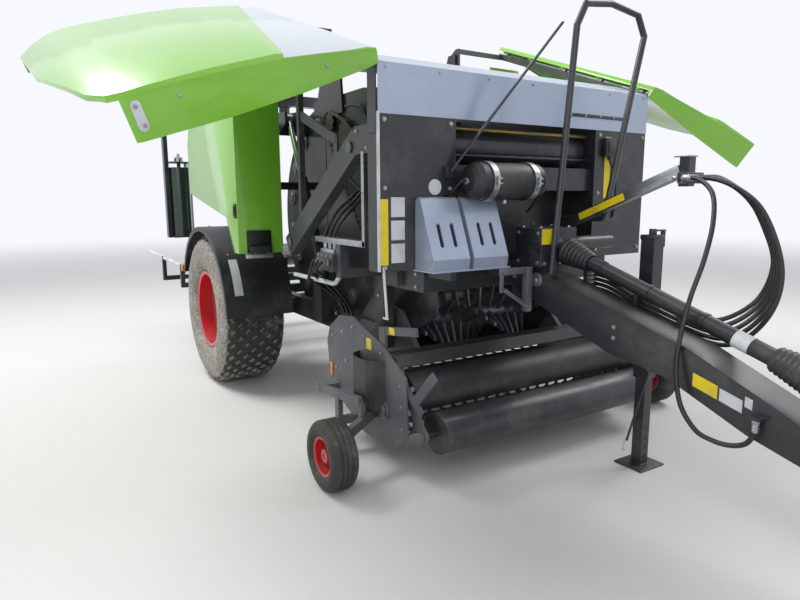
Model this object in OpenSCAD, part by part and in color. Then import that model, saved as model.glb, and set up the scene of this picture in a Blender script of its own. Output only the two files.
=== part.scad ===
// Round baler with a wrapping table behind the bale chamber.
// X points to the machine's left, Y to its rear, Z up; millimetres.
// The modules count X from the machine's centre plane and Y from the axle; place() then puts
// the origin on the ground below the middle of the whole machine with its hoods open. The hitch eye is at the far -Y end.

/* [Road wheels] */
// Outer radius of a road tyre
tyre_r = 665; // [640:5:690]
// Width of a road tyre
tyre_w = 560; // [500:10:560]
// Distance from the centre plane to the middle of a road tyre
track_half = 1200; // [1200:5:1240]
// Radius where the tyre meets the rim
rim_r = 345; // [320:5:360]

/* [Chassis] */
// Distance from the centre plane to the inner face of a side beam
beam_in = 720; // [710:5:730]
// Width of a side beam
beam_w = 80; // [60:5:80]
// Height of a side beam's lower face
beam_z = 640; // [600:10:660]
// Height of a side beam
beam_h = 160; // [120:10:160]
// Front face of the machine
front_y = -2600; // [-2640:10:-2580]
// Half width of the front panels
front_half = 1130; // [1080:10:1140]

/* [Bale chamber] */
// Centre of the chamber behind the front of the machine
chamber_back = 1750; // [1730:5:1760]
// Height of the chamber's centre
chamber_z = 1500; // [1490:5:1520]
// Radius of the circle the baling rollers' axes stand on
ring_r = 760; // [750:5:770]
// Radius of a baling roller without its ribs
roller_r = 104; // [90:2:106]
// Half of the chamber's inner width
chamber_half = 605; // [600:5:620]
// Thickness of a chamber wall
wall_t = 12; // [8:1:14]

/* [Side hoods] */
// Angle the open right hood stands away from its closed position
hood_open = 68; // [60:2:72]
// Angle the open left hood stands away from its closed position
hood_open_l = 60; // [56:2:64]
// Length by which the left hood is shorter than the right one
hood_rise = 425; // [380:5:440]
// Slope of the hoods' hinge lines
hood_slope = 20; // [18:1:21]
// Length of the hoods along the machine
hood_len = 1650; // [1600:10:1660]
// Thickness of the hood and cover sheets
skin_t = 8; // [6:1:10]

/* [Pickup] */
// Half of the width over the pickup's end plates
pick_half = 1020; // [1000:5:1030]
// Radius of the tine tips
tine_r = 235; // [220:5:240]
// Radius of the crop roller
press_r = 122; // [100:2:124]
// Number of tine rows on the reel
tine_rows = 4; // [3:1:5]
// Radius of a gauge wheel
gauge_r = 205; // [190:5:210]
// Width of a gauge wheel
gauge_w = 165; // [140:5:170]

/* [Wrapping table] */
// Distance from the axle to the wrapping arm's axis
wrap_y = 1600; // [1590:5:1620]
// Radius at which the film rolls travel
film_reach = 1260; // [1250:5:1265]
// Height of a film roll
film_h = 750; // [500:10:760]
// Radius of a film roll
film_r = 108; // [80:2:110]

/* [Drawbar] */
// Width of the drawbar's box beam
draw_w = 220; // [180:10:230]
// Height of the hitch eye
eye_z = 500; // [480:10:520]
// Distance from the axle to the hitch eye
eye_reach = 4800; // [4760:10:4840]
// Radius of the hole in the hitch eye
eye_bore = 25; // [20:1:28]

/* [Hidden] */
$fn = 48;

steel_dark = "#2e2f33";
steel_grey = "#8f9296";
body_green = "#6fae3c";
silver = "#a9b3c4";
rim_red = "#c8222a";
tyre_black = "#222326";

cy = front_y + chamber_back;          // chamber centre
cz = chamber_z;
split_gap = 6;                        // half of the gap between chamber and tailgate
wall_out = chamber_half + wall_t;
shell_r = ring_r + roller_r + 40;     // outside of the chamber
shaft_r = 28;                         // baling roller shafts
rotor_shaft = 60;
collar_r = 90;
beam_out = beam_in + beam_w;
beam_top = beam_z + beam_h;
front_angles = [100, 122, 144, 166, 188, 235, 257];
rear_angles = [78, 56, 34, 12, -10, -32, -54, -76];
gate_y = -930;                        // tailgate hinge
gate_z = 2860;
rotor_y = -1950;                      // feed rotor, also the pickup's pivot
rotor_z = 780;
reel_y = -2450;
reel_z = 360;
tube_y = -2230;                       // pickup's cross tube
tube_z = 610;
tine_n = floor((pick_half - 78) / 90);   // tine pitches on each side of the middle
press_y = -2820;
press_z = 300;
gauge_x = 1430;
gauge_y = -2560;
hinge_x = 1170;                       // hood hinge line
hinge_z = 2400;
hinge_rod = 10;
side_shift = 192.1;                   // the right hood stands out further than the left one
knuckles = [60, 470, 880, 1290, 1640];   // places along the hinge line
function hinge_at(y) = hinge_z + (y - front_y) * tan(hood_slope);
hood_y = front_y - 35;                 // front face of the hoods
lift_x = 840;                         // tailgate cylinders
lift_foot = [-1250, 1000];
lift_head = [-620, 2300];
table_y = 2000;                       // table hinge
table_z = 870;
arm_z = 2740;
stand_x = 330;
stand_y = -3290;
run = 0.1;                            // running clearance
seat = 0.3;                           // gap left at a curved seat
eye_r = 68;
rail_end = 2550;                      // rear end of the side rails
film_foot = 1230;                     // underside of the film holders
tip = -eye_reach + 160;                 // front end of the drawbar
draw_z = 1190;                        // top of the drawbar 200 behind the front panels
draw_fall = 275 / 1030;               // slope of the drawbar's top
roof_fall = 344 / 1350;               // slope of the roof
function draw_top(y) = draw_z + (y + 2800) * draw_fall;
function roof_z(y) = 2455 + (y + 2360) * roof_fall;

module place() { translate([side_shift, (eye_reach + eye_r - rail_end) / 2, 0]) children(); }
module both() { children(); mirror([1, 0, 0]) children(); }
module box(x, y, z) { translate([x[0], y[0], z[0]]) cube([x[1] - x[0], y[1] - y[0], z[1] - z[0]]); }
// sheet standing in a YZ plane from x on, thickness t
module plate_x(x, t, pts) { translate([x, 0, 0]) rotate([90, 0, 90]) linear_extrude(t) polygon(pts); }
// sheet standing in an XZ plane from y on, thickness t
module plate_y(y, t, pts) { translate([0, y + t, 0]) rotate([90, 0, 0]) linear_extrude(t) polygon(pts); }
module along_x(x0, x1, y, z) { translate([x0, y, z]) rotate([90, 0, 90]) linear_extrude(x1 - x0) children(); }
module shaft(x0, x1, y, z, r) { translate([x0, y, z]) rotate([0, 90, 0]) cylinder(h = x1 - x0, r = r); }
module aim(a, b) {
  v = b - a;
  translate(a) rotate([0, -atan2(v[2], norm([v[0], v[1]])), atan2(v[1], v[0])]) children();
}
module bar(a, b, w, h) { aim(a, b) translate([0, -w / 2, -h / 2]) cube([norm(b - a), w, h]); }
module rod(a, b, r) { aim(a, b) rotate([0, 90, 0]) cylinder(h = norm(b - a), r = r); }
// ring sector in the plane, angles from the rear upwards
module sector(r0, r1, a0, a1) {
  n = ceil((a1 - a0) / 50);
  intersection() {
    difference() { circle(r = r1, $fn = 144); circle(r = r0, $fn = 144); }
    polygon(concat([[0, 0]], [for (i = [0:n]) 1.6 * r1 * [cos(a0 + (a1 - a0) * i / n), sin(a0 + (a1 - a0) * i / n)]]));
  }
}

// frame with side beams, cross members, axle, table lugs and the feet of the lift cylinders
module frame() color(steel_dark) {
  difference() {
    union() {
      both() {
        box([beam_in, beam_out], [-1960, 2090], [beam_z, beam_top]);
        box([beam_in, beam_out], [-2080, -1960], [beam_z, 1230]);
        box([beam_in, beam_out], [-2560, -2080], [1080, 1230]);
        plate_x(beam_in + 30, 20, [[-1960, beam_top], [-1700, beam_top], [-1960, 1060]]);
        // axle stub with hub flange
        shaft(beam_out - 20, track_half - 10, 0, tyre_r, 45);
        shaft(beam_out, track_half - 250, 0, tyre_r, 110);
        // table lugs
        box([beam_out - 18, beam_out], [table_y - 60, table_y + 50], [beam_top, table_z + 50]);
        shaft(beam_in + 28, beam_out, table_y, table_z, 20);
        // feet of the lift cylinders
        for (x = [lift_x - 70, lift_x + 46]) plate_x(x, 24, [[-1330, beam_z + 60], [-1170, beam_z + 60],
          [-1190, lift_foot[1] + 40], [-1310, lift_foot[1] + 40]]);
        box([beam_out, lift_x + 70], [-1330, -1170], [beam_z + 60, beam_z + 90]);
        shaft(lift_x - 70, lift_x + 70, lift_foot[0], lift_foot[1], 20);
        // fender struts
        for (y = [-540, 0, 540]) {
          box([beam_out, 905], [y - 25, y + 25], [beam_top - 60, beam_top - 10]);
          box([875, 905], [y - 25, y + 25], [beam_top - 60, tyre_r + sqrt(pow(tyre_r + 60, 2) - y * y)]);
        }
        // arms and posts of the side rails
        difference() {
          for (p = [[1150, 1390, 970], [1900, 1425, 1000]]) {
            box([beam_out, p[1] + 20], [p[0] - 25, p[0] + 25], [beam_z + 80, beam_z + 130]);
            box([p[1] - 20, p[1] + 20], [p[0] - 25, p[0] + 25], [beam_z + 80, p[2]]);
          }
          side_rail(20 + seat);
        }
      }
      // cross members
      box([-beam_in, beam_in], [-2560, -2440], [1080, 1230]);
      shaft(-beam_out, beam_out, 0, tyre_r, 70);
      for (y = [560, 1500]) box([-beam_in, beam_in], [y - 40, y + 40], [beam_z + 20, beam_z + 110]);
      box([-beam_in, beam_in], [2010, 2090], [beam_z, beam_z + 120]);
      // brackets below the chock shelf
      for (x = [-780, -420]) box([x, x + 40], [-2800, -2560], [1180, 1228]);
    }
  }
}
module side_rail(r) rod([1385, 1059.5, 945], [1455, rail_end, 1010], r);

// front half of the bale chamber
module chamber_outline() {
  polygon([[cy - split_gap, 640], [-1700, 640], [-1700, 540], [-1820, 480], [-2070, 480], [-2155, 550],
    [-2100, 640], [-2180, 760], [-2440, 900], [-2440, 1230],
    [-2560, 1230], [-2560, 2110], [-2200, 2340], [-1500, 2440], [cy - split_gap, 2440]]);
}
module chamber_front() color(steel_dark) {
  both() difference() {
    along_x(chamber_half, wall_out, 0, 0) chamber_outline();
    for (a = front_angles)
      shaft(chamber_half - 1, wall_out + 1, cy + ring_r * cos(a), cz + ring_r * sin(a), shaft_r + run);
    shaft(chamber_half - 1, wall_out + 1, rotor_y, rotor_z, rotor_shaft + run);
  }
  // bearing collars of the feed rotor, on which the pickup swings
  both() difference() {
    shaft(wall_out, 695, rotor_y, rotor_z, collar_r);
    shaft(wall_out - 1, 696, rotor_y, rotor_z, rotor_shaft + run);
  }
  // front sheet and floor of the feed channel
  plate_x(-chamber_half, 2 * chamber_half, [[-2300, 1220], [-2290, 1220], [-1730, 1180], [-1726, 1188],
    [-2290, 1228], [-2300, 1228]]);
  plate_x(-chamber_half, 2 * chamber_half, [[-2300, 1220], [-2292, 1220], [-2292, 1820], [-2300, 1820]]);
  along_x(-chamber_half, chamber_half, rotor_y, rotor_z) sector(tine_r + 50, tine_r + 58, 230, 330);
  // hinge ears for the tailgate, which also carry the roof
  both() difference() {
    plate_x(wall_out, 20, [[-1200, 2300], [gate_y + 70, 2300], [gate_y + 50, gate_z + 40], [-965, 2950],
      [-1005, 2950], [-1010, roof_z(-1010) - seat], [-1150, roof_z(-1150) - seat]]);
    shaft(wall_out - 1, wall_out + 21, gate_y, gate_z, 20 + run);
  }
  both() for (y = [-1490, -1790]) box([wall_out, beam_in], [y, y + 120], [beam_z + 20, beam_top - 20]);
  both() box([wall_out, beam_in], [-2420, -2260], [1100, 1210]);
}

module baling_rollers(angles) {
  for (a = angles) {
    y = cy + ring_r * cos(a);
    z = cz + ring_r * sin(a);
    shaft(-chamber_half + 4, chamber_half - 4, y, z, roller_r);
    shaft(-wall_out - 25, wall_out + 25, y, z, shaft_r);
    for (k = [0:7])
      along_x(-chamber_half + 10, chamber_half - 10, y, z)
        rotate(45 * k + 10) translate([roller_r - 3, -8]) square([9, 16]);
  }
}
module rollers_front() color(steel_grey) baling_rollers(front_angles);

// roller chain over the sprockets of four baling rollers, driven from the side gear
chain_r = 85;                         // pitch radius of the sprockets
chain_teeth = 10;
chain_x = wall_out + 20.4;             // inner face of the chain
chain_pins = 70;
drive_at = [-2120, 1240];
function ring_at(a) = [cy + ring_r * cos(a), cz + ring_r * sin(a)];
chain_seats = [ring_at(188), ring_at(100), ring_at(122), ring_at(144), drive_at];
chain_count = len(chain_seats);
function seat_at(i) = chain_seats[i % chain_count];
function run_of(i) = norm(seat_at(i + 1) - seat_at(i));
function dir_of(i) = (seat_at(i + 1) - seat_at(i)) / run_of(i);
function out_of(i) = [dir_of(i)[1], -dir_of(i)[0]];
function heading(i) = atan2(out_of(i)[1], out_of(i)[0]);
function turn_of(i) = (heading(i + 1) - heading(i) + 720) % 360;
function arc_of(i) = chain_r * turn_of(i) * PI / 180;
function chain_long(i = 0) = i == chain_count ? 0 : run_of(i) + arc_of(i) + chain_long(i + 1);
// place and outward direction after a way s along the chain
function chain_at(s, i = 0) = s < run_of(i) ? [seat_at(i) + s * dir_of(i) + chain_r * out_of(i), out_of(i)] :
  s < run_of(i) + arc_of(i) ? let (a = heading(i) + (s - run_of(i)) / chain_r * 180 / PI, d = [cos(a), sin(a)])
    [seat_at(i + 1) + chain_r * d, d] : chain_at(s - run_of(i) - arc_of(i), i + 1);
module chain_plate(x, t) {
  half = chain_long() / (2 * chain_pins);
  way = [for (k = [0:2 * chain_pins - 1]) chain_at(k * half)];
  along_x(x, x + t, 0, 0) difference() {
    polygon([for (k = [0:2 * chain_pins - 1]) way[k][0] + (k % 2 == 0 ? 12 : 8) * way[k][1]]);
    polygon([for (k = [0:2 * chain_pins - 1]) way[k][0] - (k % 2 == 0 ? 12 : 8) * way[k][1]]);
  }
}
module sprocket(x, y, z, t = 12) {
  along_x(x, x + t, y, z) polygon([for (k = [0:chain_teeth - 1]) for (q = [[-13, 75], [-6, 94], [6, 94], [13, 75]])
    let (a = 360 * k / chain_teeth + q[0]) q[1] * [cos(a), sin(a)]]);
}
module drive_chains() color(steel_grey) mirror([1, 0, 0]) {
  for (a = [100, 122, 144, 166, 188]) sprocket(wall_out + 25, ring_at(a)[0], ring_at(a)[1]);
  sprocket(wall_out + 25, drive_at[0], drive_at[1]);
  shaft(wall_out, wall_out + 25, drive_at[0], drive_at[1], 40);
  chain_plate(chain_x, 3);
  chain_plate(chain_x + 21, 3);
  for (k = [0:chain_pins - 1]) let (c = chain_at(k * chain_long() / chain_pins)[0])
    shaft(chain_x + 1, chain_x + 23, c[0], c[1], 8);
}

// box arms, struts and the valve block in the open sides
module side_works() color(steel_grey) both() {
  bar([1070, -2300, 1990], [1070, -1180, 1290], 76, 150);
  box([1030, 1110], [-2480, -2280], [1900, 2060]);
  box([beam_out, 1110], [-2070, -2010], [1140, 1200]);
  // light angle frame on a stub, with the valve block
  box([1050, 1110], [-2070, -2010], [1140, 1375]);
  box([1050, 1110], [-2400, -1690], [1360, 1390]);
  box([1050, 1110], [-2400, -2370], [1360, 1910]);
  box([1045, 1135], [-2010, -1770], [1175, 1290]);
  for (y = [-1960, -1890, -1820]) shaft(1135, 1165, y, 1235, 18);
  rod([1090, -1270, 1085], [1090, -1950, 1090], 14);
  rod([1090, -1946, 1090], [1090, -2040, 1165], 14.1);
  // dark post behind the box arm and the small link
  box([1060, 1100], [-1440, -1400], [1420, roof_z(-1440) - seat]);
  bar([1080, -1420, 2225], [1080, -1990, 2010], 20, 60);
  box([1072, 1088], [-2010, -1960], [1870, 2040]);
  plate_x(beam_out, 40, [[-2320, 1100], [-2120, 1100], [-2120, 1220], [-2320, 1220]]);
  // rail that carries the hood's hinge rod, with its strap and rear cross tube
  plate_x(hinge_x - 40, 20, [for (p = [[front_y + 12, -75], [-960, -75], [-960, -22], [front_y + 12, -22]])
    [p[0], hinge_at(p[0]) + p[1]]]);
  box([hinge_x - 40, hinge_x - 32], [-2590, -2500], [2000, 2340]);
  box([wall_out + 20, hinge_x - 30], [-1000, -965], [2915, 2950]);
  at_hinge() {
    translate([0, 40, 0]) rotate([-90, 0, 0]) cylinder(h = 1670, r = hinge_rod);
    for (y = knuckles) translate([0, y + 30, 0]) rotate([90, 0, 0]) linear_extrude(30) {
      circle(r = 13);
      polygon([[12, 0], [-12, 0], [-22, -24], [-38, -24], [-38, -66], [-22, -66], [12, -20]]);
    }
  }
}
module at_hinge() { translate([hinge_x, front_y, hinge_z]) rotate([hood_slope, 0, 0]) children(); }

module front_panels() color(steel_dark) both() {
  box([600, front_half], [front_y, front_y + 4], [1230, 2118]);
  box([front_half - 4, front_half], [front_y, front_y + 120], [1230, 2118]);
  box([600, chamber_half], [front_y, front_y + 60], [1230, 2118]);
  box([beam_in, front_half], [front_y + 40, front_y + 60], [1230, 1290]);
}

module cross_panel() color(silver)
  plate_x(-front_half, 2 * front_half, [[front_y - 4, 2100], [front_y, 2100], [front_y, 2366],
    [front_y + 240, 2456], [front_y + 240, 2461], [front_y - 4, 2371]]);

module roof_cover() color(body_green)
  plate_x(-front_half, 2 * front_half, [for (p = [[0, 0], [1, 0], [1, 6], [0, 6]])
    let (y = p[0] > 0 ? gate_y - 80 : front_y + 240) [y, roof_z(y) + p[1]]]);

module net_box() color(steel_dark) {
  box([-600, 600], [-2560, -2530], [1690, 1840]);
  box([-chamber_half, chamber_half], [-2540, -2300], [1822, 1828]);
  for (q = [[-2500, 2062, 11], [-2470, 1998, 9], [-2530, 1900, 8]]) shaft(-chamber_half, chamber_half, q[0], q[1], q[2]);
  shaft(-590, 590, -2400, 1960, 110);
  shaft(-chamber_half, chamber_half, -2400, 1960, 20);
}

module air_tank() color(tyre_black) {
  translate([-325, -2725, 1740]) rotate([0, 90, 0]) rotate_extrude($fn = 96) polygon([[0, -285], [60, -278],
    [95, -262], [110, -230], [110, 230], [95, 262], [60, 278], [0, 285]]);
  for (x = [-500, -180]) {
    shaft(x, x + 40, -2725, 1740, 114);
    box([x, x + 40], [-2640, -2560], [1700, 1780]);
  }
}

module wheel_chocks() color(silver) {
  for (x = [-890, -600]) difference() {
    plate_x(x, 260, [[-2604, 1236], [-2604, 1630], [-2632, 1650], [-2655, 1640], [-2790, 1300], [-2780, 1236]]);
    plate_x(x + 5, 250, [[-2610, 1200], [-2610, 1620], [-2640, 1630], [-2784, 1302], [-2774, 1200]]);
    for (c = [70, 164]) for (e = [[0, 13], [110, 13]]) translate([x + c + 13, -2700, 1380 + e[0]])
      rotate([90, 0, 0]) cylinder(h = 100, r = e[1]);
    for (c = [70, 164]) box([x + c, x + c + 26], [-2800, -2700], [1380, 1490]);
  }
  box([-900, -330], [-2800, front_y], [1228, 1236.5]);
}

module hand_rail() color(steel_dark) {
  route = [[-90, -2900, 1180], [50, -2900, 2640], [120, -2900, 2770], [345, -2900, 2800],
    [590, -2900, 2770], [660, -2900, 2650], [380, -2900, 1560], [380, -2880, 1510], [380, -2510, 1500],
    [380, -2500, 1244]];
  for (i = [0:len(route) - 2]) {
    u = (route[i + 1] - route[i]) / norm(route[i + 1] - route[i]);
    rod(route[i] - 4 * u, route[i + 1] + (i < 8 ? 4 : 0) * u, 20 + 0.1 * (i % 2));
  }
  plate_x(-110, 50, [for (p = [[-2930, 0], [-2870, 0], [-2870, 22], [-2930, 22]]) [p[0], draw_top(p[0]) + seat + p[1]]]);
  box([350, 410], [-2530, -2470], [1230, 1248]);
  bar([-60, -2890, 2640], [-650, -2619, 1800], 40, 12);
  box([-690, -625], [-2622, front_y], [1760, 1825]);
}

module hose_arm() color(steel_dark) {
  box([270, 330], [-2560, -2500], [1230, 1450]);
  bar([300, -2520, 1420], [300, -3490, 1790], 60, 60);
  box([270, 330], [-3530, -3470], [1700, 1860]);
  box([170, 395], [-3540, -3530], [1715, 1775]);
}

module drawbar() color(steel_dark) {
  plate_x(-draw_w / 2, draw_w, [[-2560, 1090], [-2560, 1225], [-2600, 1225], [-2800, draw_z], [-3830, 915],
    [tip + 340, 720], [tip, 560], [tip, 440], [tip + 485, 570], [-3740, 735], [-3360, 790], [-2780, 1000]]);
  // seat of the gearbox and the forks of the hoses and the shaft
  box([-100, 100], [-2860, -2650], [1120, 1226]);
  box([draw_w / 2, draw_w / 2 + 50], [-2990, -2975], [1060, 1240]);
  difference() {
    box([-70, 70], [tip + 150, tip + 170], [560, 830]);
    pto_tube(42 + seat);
  }
  // lug in which the low hose ends
  box([-draw_w / 2 - 55, -draw_w / 2], [-4235, -4175], [668, 680]);
  // carrier of the parking leg
  box([draw_w / 2, stand_x - 42], [stand_y - 40, stand_y + 40], [860, 960]);
  difference() {
    box([stand_x - 45, stand_x + 45], [stand_y - 45, stand_y + 45], [560, 1420]);
    box([stand_x - 35 - run, stand_x + 35 + run], [stand_y - 35 - run, stand_y + 35 + run], [550, 1400]);
  }
}

module hitch_eye() color(steel_grey)
  difference() {
    union() {
      translate([0, -eye_reach, eye_z - 22]) cylinder(h = 44, r = eye_r);
      box([-40, 40], [-eye_reach + 40, tip], [eye_z - 22, eye_z + 22]);
    }
    translate([0, -eye_reach, eye_z - 30]) cylinder(h = 60, r = eye_bore);
  }

module gearbox() color(steel_dark) {
  box([-150, 150], [-2870, -2640], [1226, 1460]);
  shaft(150, 596, -2760, 1350, 45);
  translate([0, -2911.7, 1318]) rotate([-90, 0, 0]) cylinder(h = 50, r = 30);
}

module pto_tube(r) rod([0, -2962, 1318], [0, tip + 90, 810], r);
module pto_shaft() color(tyre_black) {
  pto_tube(42);
  translate([0, -2962, 1318]) sphere(r = 50);
}

module fenders() color(steel_dark) both() {
  along_x(905, 1475, 0, tyre_r) sector(735, 741, 22, 178);
  for (x = [905, 1467]) along_x(x, x + 8, 0, tyre_r) sector(700, 741, 22, 178);
}

module yellow_plates() color("#e2c52a") {
  box([-1128, -1070], [front_y - 3, front_y], [1270, 1640]);
  box([700, 760], [front_y - 3, front_y], [1640, 2060]);
  box([-148, -20], [-2873, -2870], [1362, 1455]);
  plate_x(-draw_w / 2 - 2, 2, [[-3878, 800], [-4005, 765], [-4005, 700], [-3878, 735]]);
  bar([268.5, -2780, 1519.2], [268.5, -3180, 1671.8], 3, 44);
}
module white_plates() color("#c9cbcf") {
  for (z = [1280, 1410, 1540]) box([-1050, -960], [front_y - 3, front_y], [z, z + 110]);
  plate_x(-draw_w / 2 - 2, 2, [[-4015, 758], [-4125, 728], [-4125, 668], [-4015, 698]]);
  plate_x(-draw_w / 2 - 2, 2, [[-4135, 752], [-4170, 742], [-4170, 694], [-4135, 704]]);
  // round blank disc
  translate([-750, front_y - 2, 1708]) rotate([-90, 0, 0]) cylinder(h = 2, r = 45);
}

module wrap_gantry() color(steel_dark) {
  both() box([740, 860], [170, 320], [beam_top, 2950]);
  box([-860, 860], [170, 320], [2950, 3090]);
  box([-75, 75], [320, wrap_y + 120], [2960, 3090]);
  difference() {
    translate([0, wrap_y, 2890]) cylinder(h = 80, r = 140);
    translate([0, wrap_y, 2880]) cylinder(h = 70, r = 60 + run);
  }
}

module side_rails() color("#d8dadd") both() side_rail(20);

module tail_lamps() color("#a8242a") both() {
  box([560, 720], [2090, 2125], [650, 745]);
}
module lamps() color("#d9742a") both() box([1350, 1420], [1000, 1058], [910, 975]);

module tyre() color(tyre_black)
  rotate([0, 90, 0]) rotate_extrude($fn = 144) polygon([[rim_r, -tyre_w / 2 + 50], [rim_r + 60, -tyre_w / 2 + 12],
    [rim_r + 150, -tyre_w / 2], [rim_r + 230, -tyre_w / 2 + 10], [tyre_r - 25, -tyre_w / 2 + 36],
    [tyre_r, -tyre_w / 2 + 75], [tyre_r, tyre_w / 2 - 75], [tyre_r - 25, tyre_w / 2 - 36],
    [rim_r + 230, tyre_w / 2 - 10], [rim_r + 150, tyre_w / 2], [rim_r + 60, tyre_w / 2 - 12],
    [rim_r, tyre_w / 2 - 50]]);
module rim() color(rim_red)
  rotate([0, 90, 0]) rotate_extrude($fn = 144) polygon([[45 + run, -60], [130, -60], [200, -20], [300, 40],
    [rim_r - 30, 60], [rim_r - 30, -tyre_w / 2 + 50], [rim_r, -tyre_w / 2 + 44], [rim_r, tyre_w / 2 - 44],
    [rim_r - 30, tyre_w / 2 - 50], [rim_r - 30, 110], [280, 90], [180, 30], [45 + run, 30]]);
module tyre_r() translate([-track_half, 0, tyre_r]) tyre();
module tyre_l() translate([track_half, 0, tyre_r]) tyre();
module rim_r() translate([-track_half, 0, tyre_r]) mirror([1, 0, 0]) rim();
module rim_l() translate([track_half, 0, tyre_r]) rim();

// right hood in its closed place, then swung open about its hinge line
// hood_line: outside of the hood across its hinge line, [inward, up]
hood_line = [[0, 30], [-28, 26], [-50, -30], [-75, -150], [-125, -350], [-185, -600], [-235, -900],
  [-272, -1200], [-285, -1350], [-276, -1440], [-250, -1530], [-205, -1620], [-130, -1720]];
// inner edges of the returns along the front and the rear edge
front_return = [[-125, -1440], [-109, -1342], [-32, -873], [16, -473], [50, -60], [50, 26]];
rear_return = [[-60, -1720], [-140, -1600], [-190, -1400], [-140, -880], [-40, -300], [-10, 20]];
module hood_skin(t0, t1) {
  n = len(hood_line);
  polygon(concat([for (i = [0:n - 1]) hood_line[i] + [t0, -t0 / 2]],
    [for (i = [n - 1:-1:0]) hood_line[i] + [t1, -t1 / 2]]));
}
module hood_side(x0, x1, gap, rise) {
  along_x(x0, x1, 0, 0) polygon([[hood_y + gap, 975 + gap + rise], [front_y + 120, 960 + gap + rise],
    [front_y + 900, 1080 + gap + rise], [front_y + hood_len - gap, 1300 + gap + rise],
    [front_y + hood_len - gap, hinge_z + 700], [hood_y + gap, hinge_z + 40]]);
}
module hood_sweep() {
  translate([-hinge_x, front_y, hinge_z]) rotate([90 + hood_slope, 0, 0])
    translate([0, 0, -2400]) linear_extrude(2900) children();
}
module hood_closed(rise) {
  mirror([1, 0, 0]) at_hinge() for (y = knuckles) translate([0, y + 72, 0]) rotate([90, 0, 0]) linear_extrude(40)
    difference() {
      union() {
        circle(r = 16);
        translate([-6, 0]) square([12, 26.5]);
      }
      circle(r = hinge_rod + run);
    }
  intersection() {
    hood_sweep() hood_skin(0, skin_t);
    hood_side(-1500, -1120, 0, rise);
  }
  // raised lower part, below a line that rises from the front edge to the hinge's rear end
  intersection() {
    hood_sweep() hood_skin(-18, 1);
    hood_side(-1550, -1120, 0, rise);
    along_x(-1550, -1120, 0, 0) polygon([[hood_y - 50, 1780], [front_y + hood_len + 50, 2860],
      [front_y + hood_len + 50, 600], [hood_y - 50, 600]]);
  }
  for (e = [[hood_y, front_return, 9], [front_y + hood_len - skin_t, rear_return, 12]]) intersection() {
    hood_sweep() polygon(concat([for (i = [0:e[2]]) hood_line[i] + [skin_t / 2, -skin_t / 4]], e[1]));
    hood_side(-1550, -1080, 0.5, rise);
    box([-1550, -1080], [e[0], e[0] + skin_t], [900, 3200]);
  }
}
module hood_opened(angle, rise) color(body_green)
  translate([-hinge_x, front_y, hinge_z]) rotate([hood_slope, 0, 0]) rotate([0, angle, 0])
    rotate([-hood_slope, 0, 0]) translate([hinge_x, -front_y, -hinge_z]) hood_closed(rise);
module hood_r() hood_opened(hood_open, 0);
module hood_l() mirror([1, 0, 0]) hood_opened(hood_open_l, hood_rise);

// rear half of the chamber
module tailgate() color(steel_dark) {
  both() difference() {
    union() {
      along_x(chamber_half, wall_out, 0, 0) intersection() {
        union() {
          translate([cy, cz]) circle(r = shell_r, $fn = 144);
          translate([cy, 2200]) square([220, 250]);
        }
        translate([cy + split_gap, 0]) square([1400, 3000]);
      }
      plate_x(wall_out - 17, 11, [[cy + split_gap, 2350], [cy + 200, 2350], [gate_y + 50, 2905],
        [gate_y - 50, 2905], [gate_y - 50, 2820], [cy + split_gap, 2500]]);
      // forks for the lift cylinders
      box([wall_out, lift_x + 54], [lift_head[0] + 120, lift_head[0] + 160], [2180, 2360]);
      for (x = [lift_x - 54, lift_x + 36]) plate_x(x, 18, [[lift_head[0] - 50, 2260], [lift_head[0] + 130, 2180],
        [lift_head[0] + 130, 2360], [lift_head[0] - 50, 2350]]);
    }
    for (a = rear_angles)
      shaft(chamber_half - 1, wall_out + 1, cy + ring_r * cos(a), cz + ring_r * sin(a), shaft_r + run);
  }
  both() shaft(wall_out - 17, wall_out + 24, gate_y, gate_z, 20);
  along_x(-chamber_half, chamber_half, cy, cz) sector(shell_r - 8, shell_r, -76, 84);
  both() for (p = [[cy + (shell_r - 8) * cos(57), cz + (shell_r - 8) * sin(57)], [-750, 1750]])
    box([wall_out, 1400], [p[0] - 30, p[0] + 30], [p[1] - 30, p[1] + 30]);
}
module rollers_rear() color(steel_grey) baling_rollers(rear_angles);
module rear_covers() color(body_green) both() {
  plate_x(1400, skin_t, [[gate_y, 1230], [gate_y + 130, 1230], [gate_y + 300, 1500], [500, 1700], [520, 2150],
    [300, 2560], [-150, 2800], [gate_y, 2850]]);
  box([1050, 1400], [gate_y, gate_y + skin_t], [1230, 2850]);
}

module lift_barrels() color(tyre_black) both() {
  a = [lift_x, lift_foot[0], lift_foot[1]];
  b = [lift_x, lift_head[0], lift_head[1]];
  u = (b - a) / norm(b - a);
  difference() {
    union() {
      rod(a + 40 * u, a + 900 * u, 42);
      shaft(lift_x - 30, lift_x + 30, a[1], a[2], 45);
    }
    rod(a + 70 * u, a + 910 * u, 22 + run);
    shaft(lift_x - 40, lift_x + 40, a[1], a[2], 20 + run);
  }
}
// the pin of the rod's eye ends short of the tailgate's fork, since the linkage is opened here
module lift_rods() color(silver) both() {
  a = [lift_x, lift_foot[0], lift_foot[1]];
  b = [lift_x, lift_head[0], lift_head[1]];
  u = (b - a) / norm(b - a);
  rod(a + 120 * u, b - 20 * u, 22);
  shaft(lift_x - 22, lift_x + 22, b[1], b[2], 38);
  shaft(lift_x - 30, lift_x + 30, b[1], b[2], 20);
}

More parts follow.
